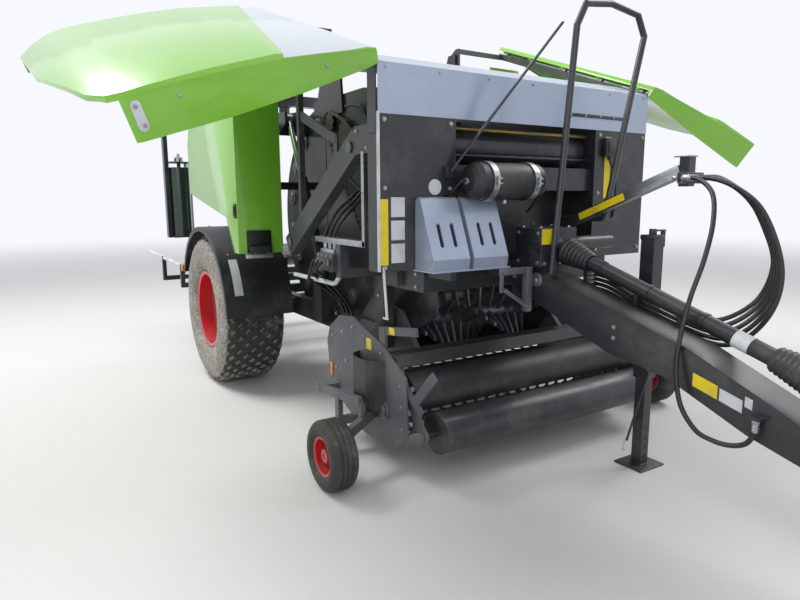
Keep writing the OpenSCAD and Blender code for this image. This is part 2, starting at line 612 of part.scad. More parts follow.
module pickup_frame() color(steel_dark) {
  both() difference() {
    plate_x(pick_half - 10, 10, [[-1650, 640], [-1700, 760], [-1860, 860], [-2050, 880], [-2450, 760],
      [-2700, 620], [-2720, 260], [-2560, 130], [-2180, 130], [-1700, 330]]);
    shaft(pick_half - 12, pick_half + 2, reel_y, reel_z, 30 + run);
  }
  // cross tube and the bar that ties the stripper bands
  shaft(-pick_half + 10, pick_half - 10, tube_y, tube_z, 45);
  box([-pick_half + 10, pick_half - 10], [tube_y - 10, tube_y + 10], [reel_z - 190, reel_z - 180]);
  both() {
    // arms that swing on the rotor's collars
    difference() {
      plate_x(640, 40, [[tube_y - 60, tube_z - 40], [tube_y - 60, tube_z + 50], [-2080, 890], [-1900, 910],
        [-1830, 840], [-1830, 700], [-1920, 650], [tube_y + 60, tube_z - 50]]);
      shaft(639, 681, rotor_y, rotor_z, collar_r + run);
    }
    // crop roller arms
    difference() {
      union() {
        bar([pick_half - 45, -2560, 620], [pick_half - 45, press_y, press_z], 16, 70);
        shaft(pick_half - 55, pick_half - 35, press_y, press_z, 40);
      }
      shaft(pick_half - 56, pick_half - 34, press_y, press_z, 18 + run);
    }
    box([pick_half - 52.6, pick_half - 8], [-2600, -2520], [590, 660]);
    // second link of the crop roller, its bracket and the lever above
    bar([pick_half - 20, -2430, 700], [pick_half - 20, -2840, 440], 14, 46);
    bar([pick_half - 20, -2760, 480], [pick_half - 20, -2960, 690], 14.4, 60);
    box([pick_half - 28, pick_half - 9], [-2450, -2380], [700, 870]);
    bar([pick_half - 20, -2390, 845], [pick_half - 20, -2790, 905], 15, 50);
    // adjusting arm of the gauge wheel with its post
    bar([pick_half + 132, -1750, 346], [pick_half + 132, -2390, 420], 32, 54);
    box([pick_half - 2, pick_half + 140], [-1840, -1780], [333, 375]);
    box([pick_half + 118, pick_half + 151], [-2120, -2070], [100, 380]);
    box([pick_half - 2, pick_half + 130], [-2118, -2072], [180, 230]);
    box([pick_half + 122, pick_half + 142], [-2412, -2374], [290, 415]);
    // gauge wheel arms
    bar([pick_half - 4, -2330, 320], [1300, -2480, 260], 40, 60);
    bar([1300, -2460, 262], [1300, gauge_y, gauge_r], 30, 60);
    shaft(1290, gauge_x + 40, gauge_y, gauge_r, 16);
  }
  // stripper bands around the front of the reel
  for (k = [-tine_n:tine_n]) {
    along_x(90 * k - 14, 90 * k + 14, reel_y, reel_z) sector(182, 186, 90, 270);
    for (z = [reel_z - 186, reel_z + 182]) box([90 * k - 14, 90 * k + 14], [reel_y, tube_y + 5], [z, z + 4]);
    box([90 * k - 14, 90 * k + 14], [tube_y - 5, tube_y + 5], [reel_z + 182, tube_z - 40]);
  }
}
// dark guards: curved sheet behind the crop roller, top plate and the curved side shields
module pickup_guards() color(tyre_black) {
  along_x(-pick_half + 53.2, pick_half - 53.2, -2590, 470) sector(144, 150, 90, 200);
  plate_x(-pick_half + 53.2, 2 * pick_half - 106.4, [[-2591, 614], [-2520, 614], [-2520, 620], [-2591, 620]]);
  for (x = [-pick_half + 53.2, pick_half - 59.2]) along_x(x, x + 6, -2590, 470) intersection() {
    circle(r = 148, $fn = 96);
    polygon([[0, 0], [0, 200], [-200, 200], [-200, -60]]);
  }
  plate_x(-pick_half + 10, 2 * pick_half - 20, [[-2480, 726], [-2572, 726], [-2612, 660], [-2606, 656],
    [-2569, 720], [-2480, 720]]);
  both() difference() {
    translate([0, 0, 130]) linear_extrude(540) polygon([[pick_half, -2470], [pick_half + 62, -2440],
      [pick_half + 92, -2380], [pick_half + 98, -2300], [pick_half + 90, -2220], [pick_half + 60, -2160],
      [pick_half, -2130]]);
    translate([0, 0, 120]) linear_extrude(560) polygon([[pick_half - 1, -2460], [pick_half + 56, -2434],
      [pick_half + 86, -2376], [pick_half + 92, -2300], [pick_half + 84, -2224], [pick_half + 56, -2168],
      [pick_half - 1, -2140]]);
    box([pick_half - 5, pick_half + 110], [-2500, -2120], [100, 356]);
  }
}
module tine_reel() color(steel_grey) {
  shaft(-pick_half + 4, pick_half - 4, reel_y, reel_z, 30);
  for (k = [0:tine_rows - 1]) translate([0, reel_y, reel_z]) rotate([360 / tine_rows * k + 20, 0, 0]) {
    translate([-pick_half + 30, 130, 0]) rotate([0, 90, 0]) cylinder(h = 2 * pick_half - 60, r = 14);
    for (j = [-tine_n - 1:tine_n]) translate([90 * j + 42, 125, -3]) cube([6, tine_r - 125, 6]);
    for (x = [-pick_half + 30, -4, pick_half - 42]) translate([x, 0, -20]) cube([12, 140, 40]);
  }
}
module feed_rotor() color(steel_grey) {
  shaft(-700, 700, rotor_y, rotor_z, rotor_shaft);
  for (k = [-6:6]) along_x(88 * k - 8, 88 * k + 8, rotor_y, rotor_z) rotate(13 * k) for (a = [0:90:270])
    rotate(a) polygon([[50, -40], [240, -14], [250, 10], [60, 44]]);
}
module crop_roller() color(steel_dark) {
  shaft(-890, 890, press_y, press_z, press_r);
  shaft(-pick_half + 35, pick_half - 35, press_y, press_z, 18);
}
module gauge_tyre() color(tyre_black)
  rotate([0, 90, 0]) rotate_extrude($fn = 96) polygon([[115, -gauge_w / 2 + 20], [140, -gauge_w / 2],
    [180, -gauge_w / 2 + 4], [gauge_r, -gauge_w / 2 + 30], [gauge_r, gauge_w / 2 - 30], [180, gauge_w / 2 - 4],
    [140, gauge_w / 2], [115, gauge_w / 2 - 20]]);
module gauge_rim() color(rim_red)
  rotate([0, 90, 0]) rotate_extrude($fn = 96) polygon([[16 + run, -50], [40, -50], [50, -10], [100, -4],
    [100, -gauge_w / 2 + 22], [115, -gauge_w / 2 + 18], [115, gauge_w / 2 - 18], [100, gauge_w / 2 - 22], [100, 8],
    [50, 4], [40, 30], [16 + run, 30]]);
module gauge_tyre_r() translate([-gauge_x, gauge_y, gauge_r]) gauge_tyre();
module gauge_tyre_l() translate([gauge_x, gauge_y, gauge_r]) gauge_tyre();
module gauge_rim_r() translate([-gauge_x, gauge_y, gauge_r]) gauge_rim();
module gauge_rim_l() translate([gauge_x, gauge_y, gauge_r]) mirror([1, 0, 0]) gauge_rim();

module parking_leg() color(steel_dark) {
  box([stand_x - 35, stand_x + 35], [stand_y - 35, stand_y + 35], [10, 1080]);
  box([stand_x - 110, stand_x + 110], [stand_y - 100, stand_y + 100], [0, 12]);
}

module wrap_arm() color(steel_dark) {
  box([-film_reach - 160, film_reach + 160], [wrap_y - 60, wrap_y + 60], [arm_z, arm_z + 120]);
  translate([0, wrap_y, arm_z + 100]) cylinder(h = 45, r = 130);
  translate([0, wrap_y, arm_z + 140]) cylinder(h = 60, r = 60);
  both() {
    box([film_reach + 115, film_reach + 160], [wrap_y - 45, wrap_y + 45], [film_foot, arm_z]);
    for (z = [film_foot, film_foot + film_h + 60])
      box([film_reach - 110, film_reach + 115], [wrap_y - 110, wrap_y + 110], [z, z + 14]);
    translate([film_reach, wrap_y, film_foot + 10]) cylinder(h = film_h + 60, r = 20);
  }
}
module film_rolls() color(tyre_black) both()
  difference() {
    translate([film_reach, wrap_y, film_foot + 14 + seat]) cylinder(h = film_h, r = film_r);
    translate([film_reach, wrap_y, film_foot]) cylinder(h = film_h + 40, r = 20 + run);
  }

module wrap_table() color(steel_grey) {
  both() difference() {
    plate_x(beam_in + 30, 20, [[table_y - 1050, 950], [table_y - 1050, 1030], [table_y + 150, 1030], [table_y + 150, 950],
      [table_y + 50, 840], [table_y - 50, 840]]);
    shaft(beam_in + 20, beam_out, table_y, table_z, 20 + run);
  }
  for (y = [table_y - 900, table_y]) shaft(-beam_in - 30, beam_in + 30, y, 985, 90);
}

// hoses: a round tube swept along a smoothed route
function catmull(p, i, t) = let (a = p[max(i - 1, 0)], b = p[i], c = p[i + 1], d = p[min(i + 2, len(p) - 1)])
  0.5 * ((2 * b) + (c - a) * t + (2 * a - 5 * b + 4 * c - d) * t * t + (3 * b - a - 3 * c + d) * t * t * t);
function smooth(p, n) = concat([for (i = [0:len(p) - 2]) for (j = [0:n - 1]) catmull(p, i, j / n)], [p[len(p) - 1]]);
function unit(v) = v / norm(v);
module hose(p, r, n = 5, sides = 8, first = [0, -1, 0], last = [0, 1, 0]) {
  q = smooth(p, n);
  m = len(q);
  t = [for (i = [0:m - 1]) i == 0 ? first : i == m - 1 ? last : unit(q[i + 1] - q[i - 1])];
  ref = [1, 0, 0];
  pts = [for (i = [0:m - 1]) let (u = unit(cross(t[i], ref)), v = cross(t[i], u))
    for (k = [0:sides - 1]) q[i] + r * (u * cos(360 * k / sides) + v * sin(360 * k / sides))];
  faces = concat([[for (k = [0:sides - 1]) k]],
    [for (i = [0:m - 2]) for (k = [0:sides - 1]) [i * sides + k, (i + 1) * sides + k,
      (i + 1) * sides + (k + 1) % sides, i * sides + (k + 1) % sides]],
    [[for (k = [sides - 1:-1:0]) (m - 1) * sides + k]]);
  color(tyre_black) polyhedron(pts, faces, convexity = 6);
}
// route of hose k, counted from the right
module hose_line(k) {
  x = 230 + 35 * k;
  hose([[x, -3540.3, 1745], [x, -3650, 1742], [x, -3800, 1700 - 14 * k], [x + 5, -3960 + 14 * k, 1570 - 24 * k],
    [x - 5, -4075 + 28 * k, 1300], [x - 40, -4050 + 34 * k, 1070 + 12 * k],
    [165 + 6 * k, -3890 + 20 * k, 905 + 28 * k], [150, -3640, 925 + 28 * k], [138, -3360, 1010 + 28 * k],
    [135, -3150, 1084 + 28 * k], [135, -2990.3, 1100 + 28 * k]], 12);
}
module hose_1() hose_line(0);
module hose_2() hose_line(1);
module hose_3() hose_line(2);
module hose_4() hose_line(3);
module hose_5() hose_line(4);
// hose that hangs in a low loop beside the drawbar
module hose_6() hose([[195, -3540.3, 1745], [192, -3640, 1733], [160, -3740, 1660], [95, -3795, 1520],
  [20, -3810, 1340], [-70, -3800, 1120], [-140, -3805, 860], [-165, -3850, 660], [-168, -3940, 545],
  [-166, -4030, 518], [-160, -4109, 520], [-150, -4172, 546], [-142, -4202, 600], [-140, -4205, 667.7]],
  12, 5, 8, [0, -1, 0], [0, 0, 1]);

place() frame();
place() chamber_front();
place() rollers_front();
place() drive_chains();
place() side_works();
place() front_panels();
place() cross_panel();
place() roof_cover();
place() net_box();
place() air_tank();
place() wheel_chocks();
place() hand_rail();
place() hose_arm();
place() drawbar();
place() hitch_eye();
place() gearbox();
place() pto_shaft();
place() fenders();
place() yellow_plates();
place() white_plates();
place() wrap_gantry();
place() side_rails();
place() lamps();
place() tyre_r();
place() rim_r();
place() tyre_l();
place() rim_l();
place() hood_r();
place() hood_l();
place() tailgate();
place() rollers_rear();
place() rear_covers();
place() lift_barrels();
place() lift_rods();
place() pickup_frame();
place() tine_reel();
place() feed_rotor();
place() crop_roller();
place() gauge_tyre_r();
place() gauge_rim_r();
place() gauge_tyre_l();
place() gauge_rim_l();
place() parking_leg();
place() wrap_arm();
place() film_rolls();
place() wrap_table();
place() hose_1();
place() hose_2();
place() hose_3();
place() hose_4();
place() hose_5();
place() hose_6();
place() pickup_guards();
place() tail_lamps();
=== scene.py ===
import math
import bpy
import bmesh
from mathutils import Matrix, Vector


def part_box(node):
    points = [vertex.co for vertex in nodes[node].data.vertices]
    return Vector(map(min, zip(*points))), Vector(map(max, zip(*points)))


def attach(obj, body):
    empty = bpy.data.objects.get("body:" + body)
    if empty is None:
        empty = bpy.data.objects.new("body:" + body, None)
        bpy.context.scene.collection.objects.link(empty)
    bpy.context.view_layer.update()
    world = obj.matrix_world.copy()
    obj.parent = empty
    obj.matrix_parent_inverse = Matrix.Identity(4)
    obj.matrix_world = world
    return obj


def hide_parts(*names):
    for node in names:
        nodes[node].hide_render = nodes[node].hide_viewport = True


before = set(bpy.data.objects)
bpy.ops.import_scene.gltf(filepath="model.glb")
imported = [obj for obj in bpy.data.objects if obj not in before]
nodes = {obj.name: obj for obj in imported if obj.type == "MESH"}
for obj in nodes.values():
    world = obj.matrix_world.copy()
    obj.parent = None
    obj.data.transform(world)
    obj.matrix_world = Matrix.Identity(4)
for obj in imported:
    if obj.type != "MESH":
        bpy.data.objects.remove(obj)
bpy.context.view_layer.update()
print("frame loaded:", len(nodes), "nodes")

# the axle's middle on the ground, from the two road wheels
tyreBoxes = [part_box("tyre_r"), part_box("tyre_l")]
axleY = (tyreBoxes[0][0][1] + tyreBoxes[0][1][1]) / 2
midX = (tyreBoxes[0][0][0] + tyreBoxes[1][1][0]) / 2
# directions, and the two sides of the machine
ahead, up, down, leftward = (0, -1, 0), (0, 0, 1), (0, 0, -1), (1, 0, 0)
bothSides = (("r", -1), ("l", 1))


def at(x, y, z):
    # millimetres from the axle's middle, as on the drawing, to the frame's metres
    return Vector((midX + x / 1000, axleY + y / 1000, z / 1000))


# camera
cameraView = {
    "place": at(-2836, -5567, 1642),
    "heading": 31.84,      # degrees to the right of the travel axis
    "down": 9.41,
    "roll": -0.31,
    "lens": 27.5,
    "clip": (0.05, 200),   # metres
}


def makeCamera(v):
    data = bpy.data.cameras.new("photoCamera")
    data.lens = v["lens"]
    data.clip_start, data.clip_end = v["clip"]
    cam = bpy.data.objects.new("photoCamera", data)
    turn = (Matrix.Rotation(math.radians(-v["heading"]), 4, "Z")
            @ Matrix.Rotation(math.radians(90 - v["down"]), 4, "X")
            @ Matrix.Rotation(math.radians(v["roll"]), 4, "Z"))
    cam.matrix_world = Matrix.Translation(v["place"]) @ turn
    bpy.context.scene.collection.objects.link(cam)
    bpy.context.scene.camera = cam


makeCamera(cameraView)
print("camera placed")


# materials
def linear(hexCode):
    out = []
    for i in (0, 2, 4):
        c = int(hexCode.lstrip("#")[i:i + 2], 16) / 255
        out.append(c / 12.92 if c <= 0.04045 else ((c + 0.055) / 1.055) ** 2.4)
    return (*out, 1.0)


def addNode(tree, kind, settings=None, links=None):
    # settings: node attribute or socket values, links: input socket -> output socket
    n = tree.nodes.new(kind)
    for key, value in (settings or {}).items():
        if isinstance(key, str) and key not in n.inputs:
            setattr(n, key, value)
        else:
            n.inputs[key].default_value = linear(value) if isinstance(value, str) else value
    for key, source in (links or {}).items():
        tree.links.new(n.inputs[key], source)
    return n


paintDefaults = {
    # sizes of patches, specks and grain in mm, shares of dust from 0 to 1
    "patchMm": 260, "speckMm": 26, "grainMm": 2.0, "grainDepth": 0.15, "metal": 0.0, "coat": 0.0,
    "dustShare": 0.45, "topDust": 0.35, "lowDust": 0.3, "wallDust": 0.0, "field": None,
}


def weathered(name, base, second, dust, rough, **look):
    # two close tones in patches, dust in specks that gathers on top faces and near the ground, a fine grain;
    # on faces that look sideways a pale share, partly dust and partly painted sunlight
    s = {**paintDefaults, **look}
    mat = bpy.data.materials.new(name)
    mat.use_nodes = True
    t = mat.node_tree
    shader = t.nodes["Principled BSDF"]
    coords = addNode(t, "ShaderNodeTexCoord").outputs
    noises = ((s["patchMm"], 6.0, 0.62), (s["speckMm"], 5.0, 0.7), (s["grainMm"] * 6, 3.0, 0.5))
    patches, specks, grain = [
        addNode(t, "ShaderNodeTexNoise", {"Scale": 1000 / mm, "Detail": detail, "Roughness": share},
                {"Vector": coords["Object"]}).outputs["Fac"] for mm, detail, share in noises]
    height = addNode(t, "ShaderNodeSeparateXYZ", links={"Vector": coords["Object"]}).outputs["Z"]
    facing = addNode(t, "ShaderNodeSeparateXYZ", links={"Vector": coords["Normal"]}).outputs
    sideways = addNode(t, "ShaderNodeMath", {"operation": "ABSOLUTE"}, {0: facing["X"]}).outputs[0]
    # each share goes from 0 to its most while what it reads goes from the first value to the last
    shares = {}
    for part, source, first, last, most in (
            ("tone", patches, 0.35, 0.68, 1.0), ("speckled", specks, 0.40, 0.66, 1.0),
            ("spread", patches, 0.62 - s["dustShare"] * 0.4, 0.85, 1.0),
            ("top", facing["Z"], 0.55, 0.98, s["topDust"]), ("low", height, 0.9, 0.05, s["lowDust"]),
            # faces that look sideways turn pale: partly dust, partly painted sunlight
            ("wall", sideways, 0.35, 0.8, s["wallDust"])):
        shares[part] = addNode(t, "ShaderNodeMapRange", {"From Min": first, "From Max": last, "To Max": most},
                               {"Value": source}).outputs["Result"]
    tones = addNode(t, "ShaderNodeMix", {"data_type": "RGBA", 6: base, 7: second},
                    {0: shares["tone"]}).outputs[2]
    if s["field"]:
        # silver field of the hood's outer skin: above a plane, on faces that look outwards
        field, tests = s["field"], []
        for vector, way, least in ((coords["Object"], "across", field["limit"]),
                                   (coords["Normal"], "outward", 0.25)):
            along = addNode(t, "ShaderNodeVectorMath", {"operation": "DOT_PRODUCT", 1: field[way]},
                            {0: vector})
            tests.append(addNode(t, "ShaderNodeMath", {"operation": "GREATER_THAN", 1: least},
                                 {0: along.outputs["Value"]}).outputs[0])
        inside = addNode(t, "ShaderNodeMath", {"operation": "MULTIPLY"},
                         {0: tests[0], 1: tests[1]}).outputs[0]
        tones = addNode(t, "ShaderNodeMix", {"data_type": "RGBA", 7: field["colour"]},
                        {0: inside, 6: tones}).outputs[2]
    # how much dust lies here
    amount = shares["spread"]
    for part in ("top", "low", "wall"):
        amount = addNode(t, "ShaderNodeMath", {"operation": "ADD"}, {0: amount, 1: shares[part]}).outputs[0]
    specked = addNode(t, "ShaderNodeMath", {"operation": "MULTIPLY_ADD", 1: 0.6, 2: 0.4},
                      {0: shares["speckled"]})
    amount = addNode(t, "ShaderNodeMath", {"operation": "MULTIPLY", "use_clamp": True},
                     {0: amount, 1: specked.outputs[0]}).outputs[0]
    colour = addNode(t, "ShaderNodeMix", {"data_type": "RGBA", 7: dust}, {0: amount, 6: tones}).outputs[2]
    roughness = addNode(t, "ShaderNodeMapRange", {"From Max": 0.8, "To Min": rough,
                                                  "To Max": min(rough + 0.35, 0.95)},
                        {"Value": amount}).outputs["Result"]
    metallic = addNode(t, "ShaderNodeMapRange", {"To Min": s["metal"], "To Max": s["metal"] * 0.2},
                       {"Value": amount}).outputs["Result"]
    bump = addNode(t, "ShaderNodeBump", {"Strength": s["grainDepth"], "Distance": s["grainMm"] / 2000},
                   {"Height": grain}).outputs["Normal"]
    for socket, source in (("Base Color", colour), ("Roughness", roughness), ("Metallic", metallic),
                           ("Normal", bump)):
        t.links.new(shader.inputs[socket], source)
    shader.inputs["Coat Weight"].default_value = s["coat"]
    shader.inputs["Coat Roughness"].default_value = 0.1
    return mat


hoodSwing = {"degrees": 68, "slope": 20, "hinge": (-1170, -2600, 2400), "skinX": -1300,
             "line": ((-2685, 1780), (-900, 2860)), "silver": "#c3c9d6"}


def openedHood(s):
    # turns a place on the closed right hood to where it is with the hood open
    slope = math.radians(s["slope"])
    axis = Vector((0, math.cos(slope), math.sin(slope)))
    hinge = at(*s["hinge"])
    return (Matrix.Translation(hinge) @ Matrix.Rotation(math.radians(s["degrees"]), 4, axis)
            @ Matrix.Translation(-hinge))


def silverField(s):
    # plane through the edge of the raised part, square to the hood's outer skin
    turn = openedHood(s)
    a, b = [turn @ at(s["skinX"], y, z) for y, z in s["line"]]
    outward = (turn.to_3x3() @ Vector((-1, 0, 0))).normalized()
    across = (b - a).normalized().cross(outward)
    if across.dot(at(*s["hinge"]) + Vector((0, 0, 0.2)) - a) < 0:
        across.negate()
    return {"across": across, "outward": outward, "limit": across.dot(a), "colour": s["silver"]}


# sprayed and oven dried chassis paint: nearly black, satin, grey with road dust
chassisPaint = weathered("satinChassisPaint", "#242529", "#2c2d31", "#5f5d59", 0.36, coat=0.15,
                         dustShare=0.25, topDust=0.15, lowDust=0.12)
# gel coated hood panels: light yellow green, glossy, slightly faded in patches
hoodLook = {"base": "#86c63c", "second": "#7dbd38", "dust": "#a9c77c", "rough": 0.24, "grainMm": 6,
            "grainDepth": 0.04, "dustShare": 0.1, "topDust": 0.1, "lowDust": 0.0, "coat": 0.6, "patchMm": 900}
hoodPaint = weathered("gelCoatedHoodGreen", **hoodLook)
# the right hood's green with its clear coated silver field
fieldPaint = weathered("gelCoatedHoodWithField", field=silverField(hoodSwing), **hoodLook)
# metallic silver front panel, clear coated
silverPaint = weathered("metallicSilverPaint", "#a9b4c9", "#9ca8bf", "#bcbfc5", 0.32, metal=0.35,
                        dustShare=0.2, coat=0.35, topDust=0.15)
# powder coated brackets, mid grey with dried mud
bracketPaint = weathered("powderCoatedGrey", "#4c4f55", "#575a5f", "#7b7974", 0.45, dustShare=0.35,
                         topDust=0.2, lowDust=0.2)
# dark enamelled arms and frames in the open sides
armPaint = weathered("enamelledGrey", "#3c3d41", "#47484c", "#6f6c66", 0.4, dustShare=0.3, topDust=0.2)
# galvanised rollers, sprockets and table rollers, dull and streaked
zincSteel = weathered("galvanisedSteel", "#83888e", "#6b7075", "#6c675e", 0.4, metal=0.75, grainMm=3)
# zinc plated bolts and fittings, bright where clean
platedSteel = weathered("zincPlatedSteel", "#b4b7ba", "#9b9ea1", "#8a867c", 0.3, metal=0.85, dustShare=0.3,
                        patchMm=60)
# oiled chain steel, dark brown between the plates
chainSteel = weathered("oiledChainSteel", "#5d5a56", "#484441", "#6a5d4c", 0.38, metal=0.8, patchMm=70)
# red wheel paint, glossy
wheelPaint = weathered("glossWheelRed", "#cc2029", "#bb1c26", "#8d5a50", 0.3, dustShare=0.3, coat=0.3,
                       topDust=0.2, lowDust=0.25)
# cured tread rubber, dull, with pale dried mud and painted sunlight on the walls
treadRubber = weathered("curedTreadRubber", "#232324", "#2c2b2b", "#b0aba2", 0.7, grainMm=3, grainDepth=0.3,
                        dustShare=0.25, lowDust=0.12, topDust=0.1, wallDust=0.9)
# the same rubber on the small ribbed wheels, kept darker by the grass
gaugeRubber = weathered("ribbedGaugeRubber", "#222223", "#2b2b2b", "#7f7a71", 0.66, grainMm=3, grainDepth=0.3,
                        dustShare=0.3, lowDust=0.15, topDust=0.15)
# hydraulic hose cover, smooth black rubber
hoseRubber = weathered("extrudedHoseRubber", "#141415", "#1f1f20", "#4b4843", 0.42, grainMm=1, dustShare=0.2,
                       patchMm=90, topDust=0.15)
# injection moulded guards, fenders and covers, black polypropylene with a fine texture
mouldedBlack = weathered("mouldedPolypropylene", "#1a1b1e", "#222326", "#5d5b57", 0.42, grainMm=1.5,
                         grainDepth=0.25, dustShare=0.25, topDust=0.15, lowDust=0.12)
# rolled crop roller: black paint worn and dusty from the crop
rollerPaint = weathered("wornRollerPaint", "#25262b", "#303136", "#66635e", 0.34, dustShare=0.3, topDust=0.2,
                        lowDust=0.1, patchMm=180, coat=0.1)
# ground and hard chromed cylinder rod
platedRod = weathered("hardChromeRod", "#c5c8cc", "#b2b6bb", "#8b8a86", 0.14, metal=0.95, grainDepth=0.02,
                      dustShare=0.1)
# brushed brass rods of the net feed
netBrass = weathered("brushedBrass", "#a98f55", "#8f7a4a", "#77705f", 0.35, metal=0.8, patchMm=120)
# vinyl sheets left blank: yellow and pale grey
yellowSheet = weathered("yellowVinylSheet", "#ecd221", "#dfc41d", "#a79a4c", 0.4, dustShare=0.25, patchMm=120,
                        lowDust=0.1)
paleSheet = weathered("paleVinylSheet", "#d3d6dc", "#c4c7cd", "#9a978f", 0.4, dustShare=0.25, patchMm=120,
                      lowDust=0.1)
# white painted guard rail
railPaint = weathered("whiteRailPaint", "#d6d9dc", "#c6c9cc", "#9b978e", 0.36, dustShare=0.3, patchMm=120)
# moulded acrylic lenses
amberLens = weathered("amberAcrylic", "#e4741e", "#d26414", "#a3684a", 0.18, dustShare=0.1, coat=0.6,
                      patchMm=60, lowDust=0.05)
redLens = weathered("redAcrylic", "#b3161c", "#9c1218", "#8a4a45", 0.18, dustShare=0.1, coat=0.6, patchMm=60,
                    lowDust=0.05)
# stretch film on its roll, dark green, glossy winding
wrapFilm = weathered("stretchFilm", "#1d2f24", "#243a2d", "#4b5a50", 0.22, grainMm=1, grainDepth=0.05,
                     dustShare=0.15, coat=0.4, topDust=0.1)
print("materials made")


# shared modelling steps
def ridingPiece(name, data, finish, body, replaced):
    data.materials.append(finish)
    obj = bpy.data.objects.new(name, data)
    bpy.context.scene.collection.objects.link(obj)
    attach(obj, body)
    if replaced:
        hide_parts(replaced)
    return obj


def newPiece(name, bm, finish, body="chassis", replaced=None, angle=32):
    # finished mesh with smooth faces and sharp edges, riding on its body
    bmesh.ops.remove_doubles(bm, verts=bm.verts, dist=0.00005)
    bmesh.ops.recalc_face_normals(bm, faces=bm.faces)
    mesh = bpy.data.meshes.new(name)
    bm.to_mesh(mesh)
    bm.free()
    obj = ridingPiece(name, mesh, finish, body, replaced)
    mesh.shade_smooth()
    mesh.set_sharp_from_angle(angle=math.radians(angle))
    return obj


def softenEdges(bm, edges, width):
    bmesh.ops.bevel(bm, geom=list(edges), offset=width / 1000, offset_type="OFFSET", affect="EDGES",
                    segments=2, profile=0.5, material=-1, clamp_overlap=True)


def addBox(bm, corner, opposite, soft=2.0, turn=None):
    # box between two corners in drawing millimetres, edges softened, turned about its middle
    a, b = at(*corner), at(*opposite)
    made = bmesh.ops.create_cube(bm, size=1.0)["verts"]
    bmesh.ops.scale(bm, vec=[abs(v) for v in b - a], verts=made)
    place = Matrix.Translation((a + b) / 2) @ (turn.to_4x4() if turn else Matrix.Identity(4))
    bmesh.ops.transform(bm, matrix=place, verts=made)
    softenEdges(bm, {e for v in made for e in v.link_edges}, soft)


def boxes(rows, side=1):
    # new mesh of softened boxes, on the machine's other side when side is -1
    bm = bmesh.new()
    for (x0, *low), (x1, *high), soft in rows:
        addBox(bm, (side * x0, *low), (side * x1, *high), soft)
    return bm


def addDisc(bm, place, facing, radius, length, sides=24, soft=0.0, tip=None):
    # round or many sided body that starts at a place and stands up along a direction, sizes in mm
    facing = Vector(facing).normalized()
    matrix = (Matrix.Translation(at(*place) + facing * length / 2000)
              @ facing.to_track_quat("Z", "Y").to_matrix().to_4x4())
    made = bmesh.ops.create_cone(bm, cap_ends=True, segments=sides, radius1=radius / 1000,
                                 radius2=(radius if tip is None else tip) / 1000, depth=length / 1000,
                                 matrix=matrix)["verts"]
    if soft:
        edges = {e for v in made for e in v.link_edges}
        rims = [e for e in edges if abs((e.verts[0].co - e.verts[1].co).normalized().dot(facing)) < 0.5]
        softenEdges(bm, rims, soft)


def addTurned(bm, place, facing, profile, sides=48):
    # profile of (radius, along) in mm, closed, spun round an axis
    facing = Vector(facing).normalized()
    matrix = Matrix.Translation(at(*place)) @ facing.to_track_quat("Z", "Y").to_matrix().to_4x4()
    ring = [bm.verts.new(matrix @ Vector((r / 1000, 0, a / 1000))) for r, a in profile]
    edges = [bm.edges.new((ring[i - 1], ring[i])) for i in range(len(ring))]
    bmesh.ops.spin(bm, geom=ring + edges, cent=at(*place), axis=facing, dvec=(0, 0, 0), angle=math.tau,
                   steps=sides, use_merge=True)


def addBand(bm, x0, x1, y, z, r0, r1, arc, steps):
    # flat strip bent round an axis across the machine, between two radii and two angles
    first, last = [math.radians(a) for a in arc]
    corners = [bm.verts.new(at(x, y + r * math.cos(first), z + r * math.sin(first)))
               for x, r in ((x0, r0), (x1, r0), (x1, r1), (x0, r1))]
    face = bm.faces.new(corners)
    bmesh.ops.spin(bm, geom=[face], cent=at(0, y, z), axis=leftward, dvec=(0, 0, 0), angle=last - first,
                   steps=steps)


def onCircle(x, y, z, radius, count, start=0.0):
    # evenly spaced places on a circle that looks sideways
    turns = [math.tau * (k + start) / count for k in range(count)]
    return [(x, y + radius * math.cos(a), z + radius * math.sin(a)) for a in turns]


def addBolt(bm, spot, facing, size):
    # washer and a hexagon head with eased corners
    addDisc(bm, spot, facing, size * 0.62, size * 0.12, sides=16)
    addDisc(bm, Vector(spot) + Vector(facing) * size * 0.12, facing, size * 0.5, size * 0.42, sides=6,
            soft=size * 0.05)


def makePipes(name, routes, radius, finish=hoseRubber, fine=3, replaced=None):
    # bent pipes and hoses: one smooth curve through the places of each route, ends closed
    curve = bpy.data.curves.new(name, "CURVE")
    curve.dimensions = "3D"
    curve.bevel_depth = radius / 1000
    curve.bevel_resolution = fine
    curve.resolution_u = 2 * fine + 2
    curve.use_fill_caps = True
    for route in routes:
        places = [at(*p) for p in route]
        spline = curve.splines.new("BEZIER")
        spline.bezier_points.add(len(places) - 1)
        for i, p in enumerate(places):
            step = (places[min(i + 1, len(places) - 1)] - places[max(i - 1, 0)]) / 6
            knot = spline.bezier_points[i]
            knot.co, knot.handle_left, knot.handle_right = p, p - step, p + step
    return ridingPiece(name, curve, finish, "chassis", replaced)


# hoses to the tractor
hoseSet = {
    "count": 5, "spacing": 35, "firstX": 230, "radius": 12,
    "plate": -3540.3, "clip": -2990.3,
    "lengths": (2.175, 2.101, 2.035, 1.979, 1.934),
    "ferrule": 42, "nut": 16,
}
lowHose = {
    "length": 1.830,
    "route": ((195, -3540.3, 1745), (192, -3640, 1733), (160, -3740, 1660), (95, -3795, 1520),
              (20, -3810, 1340),
              (-70, -3800, 1120), (-140, -3805, 860), (-165, -3850, 660), (-168, -3940, 545),
              (-166, -4030, 518),
              (-160, -4109, 520), (-150, -4172, 546), (-142, -4202, 600), (-140, -4205, 667.7)),
}


